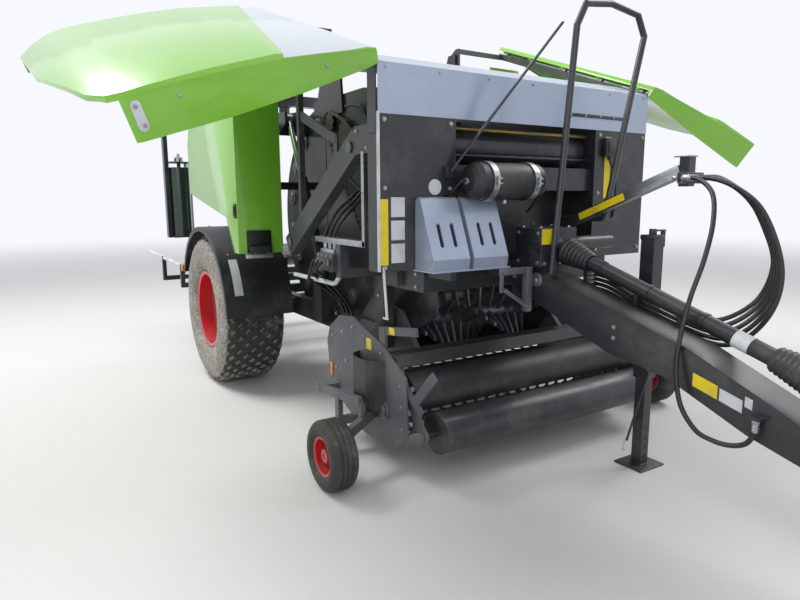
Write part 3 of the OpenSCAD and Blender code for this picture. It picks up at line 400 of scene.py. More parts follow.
def hoseRoute(k):
    x, s = hoseSet["firstX"] + hoseSet["spacing"] * k, 28 * k
    return ((x, hoseSet["plate"], 1745), (x, -3650, 1742), (x, -3800, 1700 - 14 * k),
            (x + 5, -3960 + 14 * k, 1570 - 24 * k), (x - 5, -4075 + s, 1300),
            (x - 40, -4050 + 34 * k, 1070 + 12 * k), (165 + 6 * k, -3890 + 20 * k, 905 + s),
            (150, -3640, 925 + s),
            (138, -3360, 1010 + s), (135, -3150, 1084 + s), (135, hoseSet["clip"], 1100 + s))


def makeHose(name, route, lastFacing):
    r, nut, ferrule = hoseSet["radius"], hoseSet["nut"], hoseSet["ferrule"]
    hose = makePipes(name, [route], r, fine=4, replaced=name.replace("hose", "hose_"))
    sleeve = ((r - 3, 0), (r + 4, 0), (r + 4, 10), (r + 2.5, 12), (r + 4, 14), (r + 4, 24), (r + 2.5, 26),
              (r + 4, 28), (r + 1.5, ferrule), (r - 3, ferrule))
    bm = bmesh.new()
    for end, facing in ((route[0], ahead), (route[-1], lastFacing)):
        # hexagon nut against the plate, then the crimped sleeve that tapers onto the hose
        addDisc(bm, end, facing, r + 6, nut, sides=6, soft=1.0)
        addTurned(bm, Vector(end) + Vector(facing) * nut, facing, sleeve, sides=20)
    fittings = newPiece(name + "Fittings", bm, platedSteel)


for k in range(hoseSet["count"]):
    makeHose(f"hose{k + 1}", hoseRoute(k), ahead)
makeHose("hose6", lowHose["route"], down)
print("hoses made")


# CAD nodes: paint, softened edges, smooth rounds
def makeSmoothGroup(degrees):
    # shades every edge smooth whose faces meet at less than this angle
    g = bpy.data.node_groups.new("smoothByAngle", "GeometryNodeTree")
    for direction in ("INPUT", "OUTPUT"):
        g.interface.new_socket("Geometry", in_out=direction, socket_type="NodeSocketGeometry")
    start = addNode(g, "NodeGroupInput")
    angle = addNode(g, "GeometryNodeInputMeshEdgeAngle").outputs["Unsigned Angle"]
    gentle = addNode(g, "FunctionNodeCompare", {"operation": "LESS_THAN", "B": math.radians(degrees)},
                     {"A": angle})
    faces = addNode(g, "GeometryNodeSetShadeSmooth", {"domain": "FACE", "Shade Smooth": True},
                    {"Geometry": start.outputs[0]})
    edges = addNode(g, "GeometryNodeSetShadeSmooth", {"domain": "EDGE"},
                    {"Geometry": faces.outputs[0], "Shade Smooth": gentle.outputs["Result"]})
    addNode(g, "NodeGroupOutput", links={0: edges.outputs[0]})
    return g


roundGroup, boxGroup = makeSmoothGroup(34), makeSmoothGroup(12)
nodeFinish = [
    # finish, shading, width of the softened edges in mm, nodes
    (chassisPaint, boxGroup, 3.0, ["frame", "chamber_front", "front_panels", "net_box", "hose_arm", "drawbar",
                                   "gearbox", "wrap_gantry", "tailgate", "parking_leg", "wrap_arm"]),
    (chassisPaint, roundGroup, 0, ["hand_rail", "lift_barrels"]),
    (rollerPaint, boxGroup, 1.5, ["crop_roller"]),
    (hoodPaint, roundGroup, 1.5, ["roof_cover", "hood_l", "rear_covers"]),
    (fieldPaint, roundGroup, 1.5, ["hood_r"]),
    (silverPaint, boxGroup, 2.0, ["cross_panel", "wheel_chocks"]),
    (bracketPaint, boxGroup, 2.0, ["pickup_frame"]),
    (armPaint, boxGroup, 3.0, ["side_works"]),
    (zincSteel, boxGroup, 0, ["rollers_front", "hitch_eye", "rollers_rear", "feed_rotor"]),
    (zincSteel, boxGroup, 1.0, ["tine_reel", "wrap_table"]),
    (chainSteel, boxGroup, 0, ["drive_chains"]),
    (wheelPaint, roundGroup, 0, ["rim_r", "rim_l", "gauge_rim_r", "gauge_rim_l"]),
    (mouldedBlack, boxGroup, 1.5, ["air_tank", "pto_shaft", "fenders", "pickup_guards"]),
    (platedRod, roundGroup, 0, ["lift_rods"]),
    (yellowSheet, boxGroup, 0, ["yellow_plates"]),
    (paleSheet, boxGroup, 0, ["white_plates"]),
    (railPaint, roundGroup, 0, ["side_rails"]),
    (amberLens, boxGroup, 3.0, ["lamps"]),
    (redLens, boxGroup, 3.0, ["tail_lamps"]),
    (wrapFilm, roundGroup, 0, ["film_rolls"]),
    (treadRubber, roundGroup, 0, ["tyre_r", "tyre_l", "gauge_tyre_r", "gauge_tyre_l"]),
    (hoseRubber, roundGroup, 0, ["hose_1", "hose_2", "hose_3", "hose_4", "hose_5", "hose_6"]),
]


def finishNode(node, finish, shading, edge):
    node.data.materials.clear()
    node.data.materials.append(finish)
    weld = node.modifiers.new("weld", "WELD")
    weld.merge_threshold = 0.00005
    if edge:
        flat = node.modifiers.new("flat", "DECIMATE")
        flat.decimate_type = "DISSOLVE"
        flat.angle_limit = math.radians(0.5)
        soft = node.modifiers.new("soft", "BEVEL")
        soft.width = edge / 1000
        soft.segments = 2
        soft.limit_method = "ANGLE"
        soft.angle_limit = math.radians(38)
        soft.use_clamp_overlap = True
    smooth = node.modifiers.new("smooth", "NODES")
    smooth.node_group = shading


for finish, shading, edge, names in nodeFinish:
    for name in names:
        finishNode(nodes[name], finish, shading, edge)
print("CAD nodes painted")


# tyres
roadTyre = {
    "radius": 665, "track": 1200, "y": 0, "angle": 32, "sides": 96,
    # outline from the bead over the wall to the middle of the tread: radius and distance from the middle
    "wall": ((345, 222), (352, 231), (378, 252), (405, 266), (428, 271), (434, 274), (440, 273), (470, 278),
             (505, 279), (548, 275), (575, 269), (604, 257), (625, 241), (634, 214), (638, 150), (640, 60)),
    "inner": (338, 205),
    "pitches": 32, "rows": (-186, -124, -62, 0, 62, 124, 186), "rowRadius": 648, "block": (56, 62),
    "depth": 26, "foot": 28, "top": 22.5,
    "shoulder": (232, 622), "shoulderBlock": (64, 44), "shoulderTurn": 38,
}
gaugeTyre = {
    "radius": 205, "track": 1430, "y": -2560, "angle": 40, "sides": 64,
    "wall": ((115, 62), (122, 70), (140, 81), (160, 81.5), (180, 78), (190, 70), (198, 62), (203, 52),
             (205, 48), (205, 36), (199, 33), (199, 27), (205, 24), (205, 6), (199, 3)),
    "inner": (110, 56),
}


def addTread(bm, axis, s):
    # rows of blocks with diamond tops, every other row half a pitch on, and a leaning row on each shoulder
    edge, edgeRadius = s["shoulder"]
    rows = [(across, s["rowRadius"], s["block"], 0, 0.5 * (i % 2)) for i, across in enumerate(s["rows"])]
    rows += [(sign * edge, edgeRadius, s["shoulderBlock"], sign * s["shoulderTurn"], 0.5) for sign in (-1, 1)]
    for across, radius, (long, wide), lean, start in rows:
        for k in range(s["pitches"]):
            spot = (Matrix.Translation(axis) @ Matrix.Rotation((k + start) * math.tau / s["pitches"], 4, "X")
                    @ Matrix.Translation((across / 1000, 0, radius / 1000))
                    @ Matrix.Rotation(math.radians(lean), 4, "Y")
                    @ Matrix.Diagonal((wide / 50, long / 50, 1, 1)))
            bmesh.ops.create_cone(bm, cap_ends=True, segments=4, radius1=s["foot"] / 1000,
                                  radius2=s["top"] / 1000, depth=s["depth"] / 1000, matrix=spot)


def makeTyre(name, side, body, finish, replaced, s):
    bm = bmesh.new()
    bead, half = s["inner"]
    outline = [*s["wall"], *[(r, -a) for r, a in reversed(s["wall"])], (bead, -half), (bead, half)]
    axis = (side * s["track"], s["y"], s["radius"])
    addTurned(bm, axis, leftward, outline, sides=s["sides"])
    if "rows" in s:
        addTread(bm, at(*axis), s)
    newPiece(name, bm, finish, body, replaced=replaced, angle=s["angle"])


for letter, side in bothSides:
    makeTyre("roadTyre_" + letter, side, "wheel_" + letter, treadRubber, "tyre_" + letter, roadTyre)
    makeTyre("gaugeTyre_" + letter, side, "gauge_wheel_" + letter, gaugeRubber, "gauge_tyre_" + letter,
             gaugeTyre)
print("tyres made")


# wheel nuts, hub caps
hub = {"face": 1230, "nuts": 10, "circle": 140, "nut": 15, "cap": 78, "capLength": 52,
       "gaugeNutFace": 1436, "gaugeNuts": 4, "gaugeCircle": 72, "gaugeFace": 1458}


def makeHub(letter, side, s):
    outward = (side, 0, 0)
    bm = bmesh.new()
    for spot in onCircle(side * s["face"], roadTyre["y"], roadTyre["radius"], s["circle"], s["nuts"]):
        addDisc(bm, spot, outward, s["nut"] + 4, 4, sides=16)
        addDisc(bm, spot, outward, s["nut"], 18, sides=6, soft=1.5)
        addDisc(bm, spot, outward, 9, 28, sides=12, soft=1.5)
    newPiece("wheelNuts_" + letter, bm, platedSteel, "wheel_" + letter)
    bm = bmesh.new()
    c, n = s["cap"], s["capLength"]
    addTurned(bm, (side * s["face"], roadTyre["y"], roadTyre["radius"]), outward,
              ((0.5, -4), (c + 14, -4), (c + 14, 8), (c, 10), (c - 3, n - 14), (c - 12, n - 4), (c - 30, n),
               (0.5, n)))
    newPiece("hubCap_" + letter, bm, chassisPaint, "wheel_" + letter)
    bm = bmesh.new()
    y, z = gaugeTyre["y"], gaugeTyre["radius"]
    for spot in onCircle(side * s["gaugeNutFace"], y, z, s["gaugeCircle"], s["gaugeNuts"], start=0.5):
        addDisc(bm, spot, outward, 11, 9, sides=6, soft=1.0)
    addTurned(bm, (side * s["gaugeFace"], y, z), outward,
              ((0.5, -2), (33, -2), (33, 6), (27, 14), (10, 17), (0.5, 17)), sides=32)
    newPiece("gaugeHub_" + letter, bm, platedSteel, "gauge_wheel_" + letter)


for letter, side in bothSides:
    makeHub(letter, side, hub)
print("hubs made")


# bolts
boltRows = {
    # body and the way that the heads look: first place, last place, how many, width across the head in mm
    ("chassis", "front"): (
        ((-1092, -2603, 1700), (-1092, -2603, 2070), 2, 22), ((-1092, -2600, 1255), (-700, -2600, 1255), 2,
                                                              22),
        ((-640, -2600, 1700), (-640, -2600, 2070), 2, 22), ((640, -2600, 1280), (640, -2600, 2070), 3, 22),
        ((1092, -2600, 1280), (1092, -2600, 2070), 3, 22), ((-1080, -2604, 2345), (1080, -2604, 2345), 7, 14),
        ((340, -2611, 2187), (900, -2611, 2187), 5, 13), ((-120, -2870, 1245), (120, -2870, 1245), 3, 20),
        ((190, -3540, 1722), (380, -3540, 1722), 2, 12), ((-820, 170, 2910), (-780, 170, 2910), 2, 22)),
    ("chassis", "top"): (
        ((-120, -2680, 1460), (-120, -2830, 1460), 2, 20), ((120, -2680, 1460), (120, -2830, 1460), 2, 20)),
    ("chassis", "side"): (
        ((-150, -2840, 1250), (-150, -2670, 1250), 2, 20), ((-150, -2840, 1430), (-150, -2670, 1430), 2, 20),
        ((-820, -2000, 780), (-820, -1400, 780), 3, 24), ((-800, -2480, 1110), (-800, -2480, 1190), 2, 24),
        ((-110, -3400, 940), (-110, -3400, 880), 2, 20), ((-1110, -2385, 1500), (-1110, -2385, 1850), 3, 14)),
    ("chassis", "both sides"): (
        ((800, 1300, 780), (800, 1700, 780), 3, 24), ((800, -2020, 1000), (800, -2020, 1190), 2, 24),
        ((860, 175, 2960), (860, 315, 2960), 2, 22), ((860, 195, 870), (860, 295, 870), 2, 26),
        ((1110, -2440, 1930), (1110, -2320, 2030), 2, 20)),
    ("pickup", "side"): (
        ((-1020, -1800, 480), (-1020, -1950, 560), 2, 18), ((-1170, -1800, 378), (-1170, -1800, 378), 1, 18)),
    ("pickup", "both sides"): (
        ((1020, -1750, 700), (1020, -2050, 810), 3, 20), ((1020, -2200, 780), (1020, -2420, 710), 3, 16),
        ((1020, -2640, 560), (1020, -2660, 300), 3, 16)),
    ("tailgate", "side"): (
        ((-1400, -900, 1400), (-1400, -900, 2700), 4, 16), ((1408, -900, 1400), (1408, -900, 2700), 4, 16)),
    ("wrap_arm", "top"): (
        ((-1380, 1540, 2860), (-1380, 1660, 2860), 2, 22), ((1380, 1540, 2860), (1380, 1660, 2860), 2, 22)),
}


def makeBolts(rows):
    heads = {body: bmesh.new() for body in dict.fromkeys(body for body, look in rows)}
    for (body, look), group in rows.items():
        for first, last, count, size in group:
            for k in range(count):
                x, y, z = Vector(first).lerp(Vector(last), k / max(count - 1, 1))
                for spotX in ((x, -x) if look == "both sides" else (x,)):
                    outward = {"front": ahead, "top": up}.get(look, (math.copysign(1, spotX), 0, 0))
                    addBolt(heads[body], (spotX, y, z), outward, size)
    for body, bm in heads.items():
        newPiece("bolts_" + body, bm, platedSteel, body)


makeBolts(boltRows)
print("bolts made")


# front panels, net feed, control box, shelf bracket
frontTrim = {
    "edge": (((-1134, -2606, 1235), (-1121, -2588, 2112), 1.5),
             ((-1106, -2640, 962), (-1094, -2590, 974), 2.0)),
    "rod": {"place": (-1100, -2596, 1262), "facing": (0, -0.12, -1), "radius": 8, "length": 290},
    "strip": (((308, -2611, 2176), (924, -2604, 2198), 2.0),),
    "box": (((668, -2640, 1925), (772, -2601, 2050), 8.0), ((690, -2646, 1950), (750, -2638, 2026), 3.0)),
    "gland": {"place": (720, -2625, 1928), "facing": down, "radius": 14, "length": 26},
    "cable": ((720, -2625, 1905), (736, -2630, 1870), (790, -2626, 1800), (806, -2622, 1650),
              (806, -2612, 1540), (806, -2598, 1500)),
    "netWide": 1208, "netRods": ((-2500, 2062, 12.4), (-2470, 1998, 10.4)),
    # grey bracket with its brace below the chock shelf
    "bracket": (((-424, -2808, 1184), (-160, -2800, 1226), 1.5),
                ((-205, -2812, 945), (-160, -2804, 1226), 1.5),
                ((-204, -2808, 946), (-198, -2768, 1226), 1.0),
                ((-420, -2812, 1080), (-390, -2804, 1190), 1.5)),
    "brace": ((-405, -2816, 1024), (-180, -2811, 1050)), "braceDrop": 140,
}


def makeFrontDetails(s):
    bm = boxes(s["edge"])
    addDisc(bm, sides=16, soft=2.0, **s["rod"])
    newPiece("panelEdge_r", bm, railPaint)
    newPiece("boltStrip", boxes(s["strip"]), chassisPaint)
    bm = boxes(s["box"])
    addDisc(bm, sides=20, soft=2.0, **s["gland"])
    newPiece("controlBox", bm, mouldedBlack)
    makePipes("controlCable", [s["cable"]], 8)
    bm = bmesh.new()
    for y, z, r in s["netRods"]:
        addDisc(bm, (-s["netWide"] / 2, y, z), leftward, r, s["netWide"])
    newPiece("netRods", bm, netBrass)
    bm = boxes(s["bracket"])
    low, high = s["brace"]
    addBox(bm, low, high, 1.0, turn=Matrix.Rotation(math.atan2(s["braceDrop"], high[0] - low[0]), 3, "Y"))
    newPiece("shelfBracket", bm, zincSteel)


tank = {"y": -2725, "z": 1740, "straps": (-501, -181), "right": -610, "left": -40, "drain": -325}


def makeTankFittings(s):
    y, z = s["y"], s["z"]
    bm = bmesh.new()
    for x in s["straps"]:
        addTurned(bm, (x, y, z), leftward, ((113.6, 0), (117.6, 0), (117.6, 42), (113.6, 42)), sides=64)
        for low in (-18, 10):
            addBox(bm, (x + 4, y - 142, z + low), (x + 38, y - 112, z + low + 8), 1.5)
        addDisc(bm, (x + 21, y - 130, z - 30), up, 6, 62, sides=12)
        addDisc(bm, (x + 21, y - 130, z + 18), up, 11, 9, sides=6, soft=1.0)
    addDisc(bm, (s["right"] + 4, y, z), (-1, 0, 0), 20, 16, sides=6, soft=1.5)
    addDisc(bm, (s["drain"], y, z - 106), down, 15, 26, sides=6, soft=1.5)
    addDisc(bm, (s["left"] - 4, y, z), leftward, 20, 14, sides=6, soft=1.5)
    newPiece("tankFittings", bm, platedSteel)
    makePipes("tankPipes", [[(s["right"] - 8, y, z), (s["right"] - 34, y + 2, z + 2), (-662, y + 26, z - 26),
                             (-668, -2650, z - 66), (-668, -2604, z - 84)],
                            [(s["left"] + 4, y, z), (-12, y + 4, z - 4), (10, y + 40, z - 34),
                             (16, -2640, z - 110), (16, -2560, z - 190)]], 7)


makeFrontDetails(frontTrim)
makeTankFittings(tank)
print("front details made")


# drawbar, gearbox, drive shaft guard, parking leg
driveline = {
    "start": (0, -2962, 1318), "end": (0, -4550, 810), "tube": 42,
    # ribbed cones: share of the way, length in mm, radius there and at the far end, ribs
    "cones": ((-0.008, 190, 84, 50, 7), (0.775, 250, 56, 94, 10)),
    "rings": (0.15, 0.35, 0.55), "tag": (0.66, 82),
}


def makeDriveGuard(s):
    a, b, tube = Vector(s["start"]), Vector(s["end"]), s["tube"]
    bm = bmesh.new()
    for share, length, r0, r1, ribs in s["cones"]:
        outline = [(tube - 2, 0)]
        for k in range(ribs):
            for part, bulge in ((0.0, 0), (0.45, 5), (0.9, 0)):
                t = (k + part) / ribs
                outline.append((r0 + (r1 - r0) * t + bulge, length * t))
        outline += [(r1, length), (r1 - 6, length), (tube - 2, length * 0.5)]
        addTurned(bm, a.lerp(b, share), b - a, outline)
    ring = ((tube - 1, 0), (tube + 4, 2), (tube + 4, 22), (tube - 1, 24))
    for share in s["rings"]:
        addTurned(bm, a.lerp(b, share), b - a, ring, sides=40)
    newPiece("shaftCones", bm, mouldedBlack)
    bm = bmesh.new()
    share, length = s["tag"]
    addTurned(bm, a.lerp(b, share), b - a,
              ((tube - 1, 0), (tube + 1.5, 0), (tube + 1.5, length), (tube - 1, length)))
    newPiece("shaftTag", bm, paleSheet)


gearbox = {"shaftZ": 1318, "front": -2869, "screws": 6, "screwCircle": 76, "half": 149,
           "fins": (1300, 1340, 1380), "sideFlange": (149, -2760, 1350), "top": 1459}


def makeGearboxDetails(s):
    z, half = s["shaftZ"], s["half"]
    bm = bmesh.new()
    addTurned(bm, (0, s["front"], z), ahead, ((31, 0), (86, 0), (86, 9), (70, 12), (62, 30), (46, 34),
                                              (31, 34)))
    for x, across, rise in onCircle(0, 0, 0, s["screwCircle"], s["screws"]):
        addBolt(bm, (across, s["front"] - 9, z + rise), ahead, 15)
    for fin in s["fins"]:
        addBox(bm, (-half - 9, -2850, fin), (-half, -2660, fin + 9))
        addBox(bm, (half, -2850, fin), (half + 9, -2806, fin + 9))
    addTurned(bm, s["sideFlange"], leftward, ((46, 0), (88, 0), (88, 9), (64, 14), (60, 46), (46, 48)))
    addDisc(bm, (60, -2760, s["top"]), up, 17, 12, sides=6, soft=1.5)
    addDisc(bm, (-60, -2700, s["top"]), up, 12, 30, sides=20, soft=3.0)
    newPiece("gearboxCasting", bm, chassisPaint)


drawbar = {
    "half": 110, "pin": (-2800, 1138), "pinRadius": 46,
    # bolts on both sides: place along and above, width across the head
    "bolts": ((-2600, 1140, 24), (-2700, 1120, 24), (-2600, 1190, 24), (-4585, 478, 28), (-4585, 536, 28),
              (-4500, 520, 28)),
    "clips": ((-3360, 1000), (-3640, 915)),
}


def makeDrawbarDetails(s):
    bm = bmesh.new()
    for letter, side in bothSides:
        addDisc(bm, (side * (s["half"] - 1), *s["pin"]), (side, 0, 0), s["pinRadius"], 11, sides=40, soft=3.0)
        for y, z, size in s["bolts"]:
            addBolt(bm, (side * s["half"], y, z), (side, 0, 0), size)
    addBolt(bm, (-s["half"] - 10, *s["pin"]), (-1, 0, 0), 26)
    newPiece("drawbarPins", bm, platedSteel)
    # clips that carry the hoses along the drawbar
    clips = []
    for y, z in s["clips"]:
        clips += [((103, y - 11, z - 40), (123, y + 11, z + 110), 2.0),
                  ((104, y - 12, z + 104), (176, y + 12, z + 112), 2.0)]
    newPiece("hoseClips", boxes(clips), chassisPaint)


leg = {"x": 330, "y": -3290, "top": 1420, "holes": (60, 120, 180, 240), "pinZ": 700,
       "rodTop": (287, -3347, 600), "rod": (-172, 0, -400)}


def makeLegDetails(s):
    x, y, top = s["x"], s["y"], s["top"]
    bm = boxes((((x - 50, y - 50, top - 22), (x + 50, y + 50, top + 6), 4.0),
                ((x - 9, y - 12, top + 24), (x + 110, y + 12, top + 34), 3.0)))
    addDisc(bm, (x, y, top + 6), up, 22, 34, soft=3.0)
    addDisc(bm, (x + 96, y, top + 25), down, 14, 96, sides=20, soft=4.0)
    addDisc(bm, (x - 45, y - 20, s["pinZ"]), (-1, 0, 0), 16, 24, sides=20, soft=2.0)
    newPiece("legCrank", bm, chassisPaint)
    # black discs on the leg's face: painted shade standing in for the dark insides of its pin holes
    bm = bmesh.new()
    for z in s["holes"]:
        addDisc(bm, (x, y - 34, z), ahead, 13, 2, sides=20)
    newPiece("legHoleShade", bm, hoseRubber, "parking_leg")
    # rod of the leg's locking pin, with its pale grip, hung in a lug on the sleeve
    rod, hang = Vector(s["rod"]), Vector(s["rodTop"])
    bm = boxes(((hang - Vector((9, 6, 12)), hang + Vector((9, 12, 14)), 2.0),))
    addDisc(bm, hang, rod, 7, rod.length, sides=14)
    newPiece("legPinRod", bm, hoseRubber)
    bm = bmesh.new()
    addDisc(bm, hang + rod * 0.96, rod, 14, 66, sides=20, soft=3.0, tip=9)
    newPiece("legPinGrip", bm, paleSheet)


armEnd = {"from": (300, -2520, 1420), "to": (300, -3490, 1790), "plate": (0.62, 0.985), "wide": 66,
          "lift": 32.5,
          "cap": ((262, -3536, 1858), (338, -3440, 1866)), "plugs": 6, "plugX": 195, "plugZ": 1745}


def makeHoseHolder(s):
    a, b = Vector(s["from"]), Vector(s["to"])
    slope = math.atan2(b.z - a.z, a.y - b.y)
    above = Vector((0, math.sin(slope), math.cos(slope)))
    middle = a.lerp(b, sum(s["plate"]) / 2)
    half = (b - a).length * (s["plate"][1] - s["plate"][0]) / 2
    bm = bmesh.new()
    for move, x, z in ((above * s["lift"], s["wide"] / 2, 2.5), (Vector((-s["lift"], 0, 0)), 2.5, 30)):
        reach = Vector((x, half, z))
        addBox(bm, middle + move - reach, middle + move + reach, 1.0, turn=Matrix.Rotation(-slope, 3, "X"))
    addBox(bm, *s["cap"], 1.5)
    for k in range(s["plugs"]):
        x = s["plugX"] + hoseSet["spacing"] * k
        addDisc(bm, (x, -3530, s["plugZ"]), (0, 1, 0), 16, 14, sides=6, soft=1.0)
        addDisc(bm, (x, -3517, s["plugZ"]), (0, 1, 0), 12, 26, sides=20, soft=2.0)
    newPiece("hoseHolder", bm, platedSteel)


makeDriveGuard(driveline)
makeGearboxDetails(gearbox)
makeDrawbarDetails(drawbar)
makeLegDetails(leg)
makeHoseHolder(armEnd)
print("drawbar details made")


# open sides: bearings, angle frame, valve block, hoses
chamber = {
    "y": -850, "z": 1500, "ring": 760, "wall": 617,
    "frontAngles": (100, 122, 144, 166, 188, 235, 257), "driven": (100, 122, 144, 166, 188),
    "rearAngles": (78, 56, 34, 12, -10, -32, -54, -76), "pilot": 52, "flange": 66,
}


def addBearing(bm, side, degrees, s):
    # flanged housing with four screws round a baling roller's shaft
    x, y, z = onCircle(side * s["wall"], s["y"], s["z"], s["ring"], 1, start=degrees / 360)[0]
    f = s["flange"]
    addTurned(bm, (x, y, z), (side, 0, 0), ((28.6, 0.4), (f, 0.4), (f, 9), (46, 12), (41, 24), (28.6, 24)),
              sides=40)
    for spot in onCircle(x + side * 9, y, z, s["pilot"], 4, start=0.5 + degrees / 90):
        addBolt(bm, spot, (side, 0, 0), 15)


def makeBearings(s):
    # none on the right where a sprocket sits on the shaft
    for name, body, angles, driven in (("bearingsFront", "chassis", s["frontAngles"], s["driven"]),
                                       ("bearingsRear", "tailgate", s["rearAngles"], ())):
        bm = bmesh.new()
        for letter, side in bothSides:
            for degrees in angles:
                if side == 1 or degrees not in driven:
                    addBearing(bm, side, degrees, s)
        newPiece(name, bm, zincSteel, body)


openSide = {
    "angle": (((1110, -2402, 1358), (1114, -1690, 1392), 1.0),
              ((1110, -2401, 1359.5), (1114, -2368, 1912), 1.0),
              ((1050, -2400, 1389.5), (1110, -1690, 1394), 1.0)),
    # valve block: hexagon stubs outwards, round plugs upwards
    "block": (((1060, -1990, 1288), (1120, -1790, 1318), 4.0),), "stubs": (-1960, -1890, -1820),
    "stubX": 1165, "stubZ": 1235, "plugX": 1090, "screws": (-1985, -1925, -1855, -1795),
    "pipe": ((1090, -1262, 1085.2), (1090, -1500, 1086.8), (1090, -1800, 1089), (1090, -1925, 1089.8),
             (1090, -1962, 1103), (1090, -2000, 1133), (1090, -2045, 1170)),
    "longHose": ((1082, -1990, 1880), (1060, -2060, 1800), (980, -2120, 1700), (900, -2180, 1650),
                 (800, -2260, 1640), (700, -2330, 1700), (640, -2360, 1780)),
    # plate and the two pins of the box arm: place, radius
    "armPlate": (((1040, -2470, 1905), (1044, -2290, 2055), 1.0),),
    "armPins": ((1112, -1240, 1328, 30), (1112, -2230, 1946, 34)),
}


def sideLoops(s):
    # the long hose to the front, and hoses from each stub and plug of the valve block
    loops = [s["longHose"]]
    px, sx, z = s["plugX"], s["stubX"], s["stubZ"]
    for k, y in enumerate(s["stubs"]):
        out, drop = 1200 - 6 * k, 60 + 30 * k
        loops.append(((sx + 10, y, z), (out, y + 4, z - 4), (out + 10, y + 60, z - drop),
                      (1140, y + 170, z - drop - 20), (1000, y + 260 + 20 * k, 1060 - 20 * k),
                      (860, y + 300, 900), (804, y + 320, 800)))
        loops.append(((px, y, 1372), (px + 2, y - 4, 1420), (1060 - 20 * k, y - 40, 1500 + 30 * k),
                      (930 - 30 * k, y - 60, 1640 + 30 * k), (800 - 20 * k, y - 80, 1800 + 40 * k),
                      (740 - 20 * k, y + 60, 2000 + 60 * k), (700 - 16 * k, y + 300, 2260 + 20 * k),
                      (660, y + 520, 2330)))
    return loops


def makeOpenSide(letter, side, s):
    outward = (side, 0, 0)
    newPiece("angleFrame_" + letter, boxes(s["angle"], side), platedSteel)
    bm = boxes(s["block"], side)
    for y in s["stubs"]:
        addDisc(bm, (side * (s["stubX"] - 18), y, s["stubZ"]), outward, 22, 14, sides=6, soft=1.5)
        addDisc(bm, (side * s["stubX"], y, s["stubZ"]), outward, 13, 16, sides=16, soft=2.0)
        addDisc(bm, (side * s["plugX"], y, 1316), up, 16, 60, sides=20, soft=3.0)
    for y in s["screws"]:
        addBolt(bm, (side * 1135, y, 1275), outward, 14)
    newPiece("valveFittings_" + letter, bm, platedSteel)
    makePipes("clearPipe_" + letter, [[(side * x, y, z) for x, y, z in s["pipe"]]], 16, finish=railPaint)
    makePipes("sideHoses_" + letter, [[(side * x, y, z) for x, y, z in loop] for loop in sideLoops(s)], 10)
    bm = boxes(s["armPlate"], side)
    for x, y, z, r in s["armPins"]:
        addDisc(bm, (side * x, y, z), outward, r, 14, sides=32, soft=3.0)
    newPiece("armPins_" + letter, bm, zincSteel)


makeBearings(chamber)
for letter, side in bothSides:
    makeOpenSide(letter, side, openSide)
print("open sides made")


# hoods, covers, fenders
shell = {"radius": 904, "ribs": (-330, 0, 330), "ribHalf": 18, "ribHigh": 14, "arc": (-62, 70)}


def makeShellRibs(s):
    # flat hoops welded to the tailgate's round back
    bm = bmesh.new()
    for x in s["ribs"]:
        addBand(bm, x - s["ribHalf"], x + s["ribHalf"], chamber["y"], chamber["z"], s["radius"] - 1,
                s["radius"] + s["ribHigh"], s["arc"], 40)
    newPiece("shellRibs", bm, chassisPaint, "tailgate")


hoodPlate = {"middle": (-1363, -2635, 1062), "round": 22, "stretch": 40, "thick": 4,
             "screws": ((-1403, 1058), (-1323, 1066)), "loose": ((-1374, 1250), (-1225, 2055))}


def makeHoodDetails(s):
    # pale oval plate with its two screws, and two more screws in the hood's front
    turn = openedHood(hoodSwing)
    middleX, y, middleZ = s["middle"]
    bm = bmesh.new()
    addDisc(bm, s["middle"], ahead, s["round"], s["thick"], sides=32, soft=1.0)
    middle = at(middleX, y, middleZ).x
    for v in bm.verts:
        v.co.x += math.copysign(s["stretch"] / 1000, v.co.x - middle)
    bmesh.ops.transform(bm, matrix=turn, verts=bm.verts)
    newPiece("hoodPlate", bm, paleSheet, "hood_r")
    bm = bmesh.new()
    for spots, face in ((s["screws"], y - s["thick"]), (s["loose"], y)):
        for x, z in spots:
            addDisc(bm, (x, face, z), ahead, 9, 4, sides=16, soft=1.5)
    bmesh.ops.transform(bm, matrix=turn, verts=bm.verts)
    newPiece("hoodScrews", bm, platedSteel, "hood_r")


coverBox = {"x": (-1345, -1150), "y": (-1000, -929), "z": (1232, 1405), "shallow": -944, "louvres": 3,
            "latchZ": (1500, 2450)}


def makeCoverDetails(s):
    (x0, x1), (y0, y1), (z0, z1), shallow = s["x"], s["y"], s["z"], s["shallow"]
    # shallow above, where the closed hood's edge passes in front of it
    parts = [((x0, shallow, z0), (x1, y1, z1), 4.0), ((x0 + 12, y0, z0 + 4), (x1 - 12, y1, z0 + 58), 10.0)]
    for k in range(s["louvres"]):
        z = z0 + 76 + 30 * k
        parts.append(((x0 + 18, shallow - 2, z), (x1 - 18, shallow + 3, z + 12), 1.5))
    newPiece("coverBox_r", boxes(parts), mouldedBlack, "tailgate")
    bm = boxes([((x, y0 + 20, z0 - 12), (x + 20, y1 - 16, z0 + 6), 1.0) for x in (x0 + 40, x1 - 50)])
    addDisc(bm, (x0 - 20, (y0 + y1) / 2, z0 - 20), leftward, 21, x1 - x0 + 20, sides=32, soft=4.0)
    newPiece("coverTube_r", bm, platedSteel, "tailgate")
    latches = []
    for z in s["latchZ"]:
        latches += [((1407, -912, z), (1419, -856, z + 110), 4.0),
                    ((1417, -900, z + 20), (1427, -870, z + 90), 4.0)]
    for letter, side in bothSides:
        newPiece("coverLatches_" + letter, boxes(latches, side), mouldedBlack, "tailgate")


fender = {"radius": 741, "strip": (139, 164), "stripX": (-1392, -1322), "bolts": (960, 1100, 1380),
          "boltAngles": (45, 90, 135)}


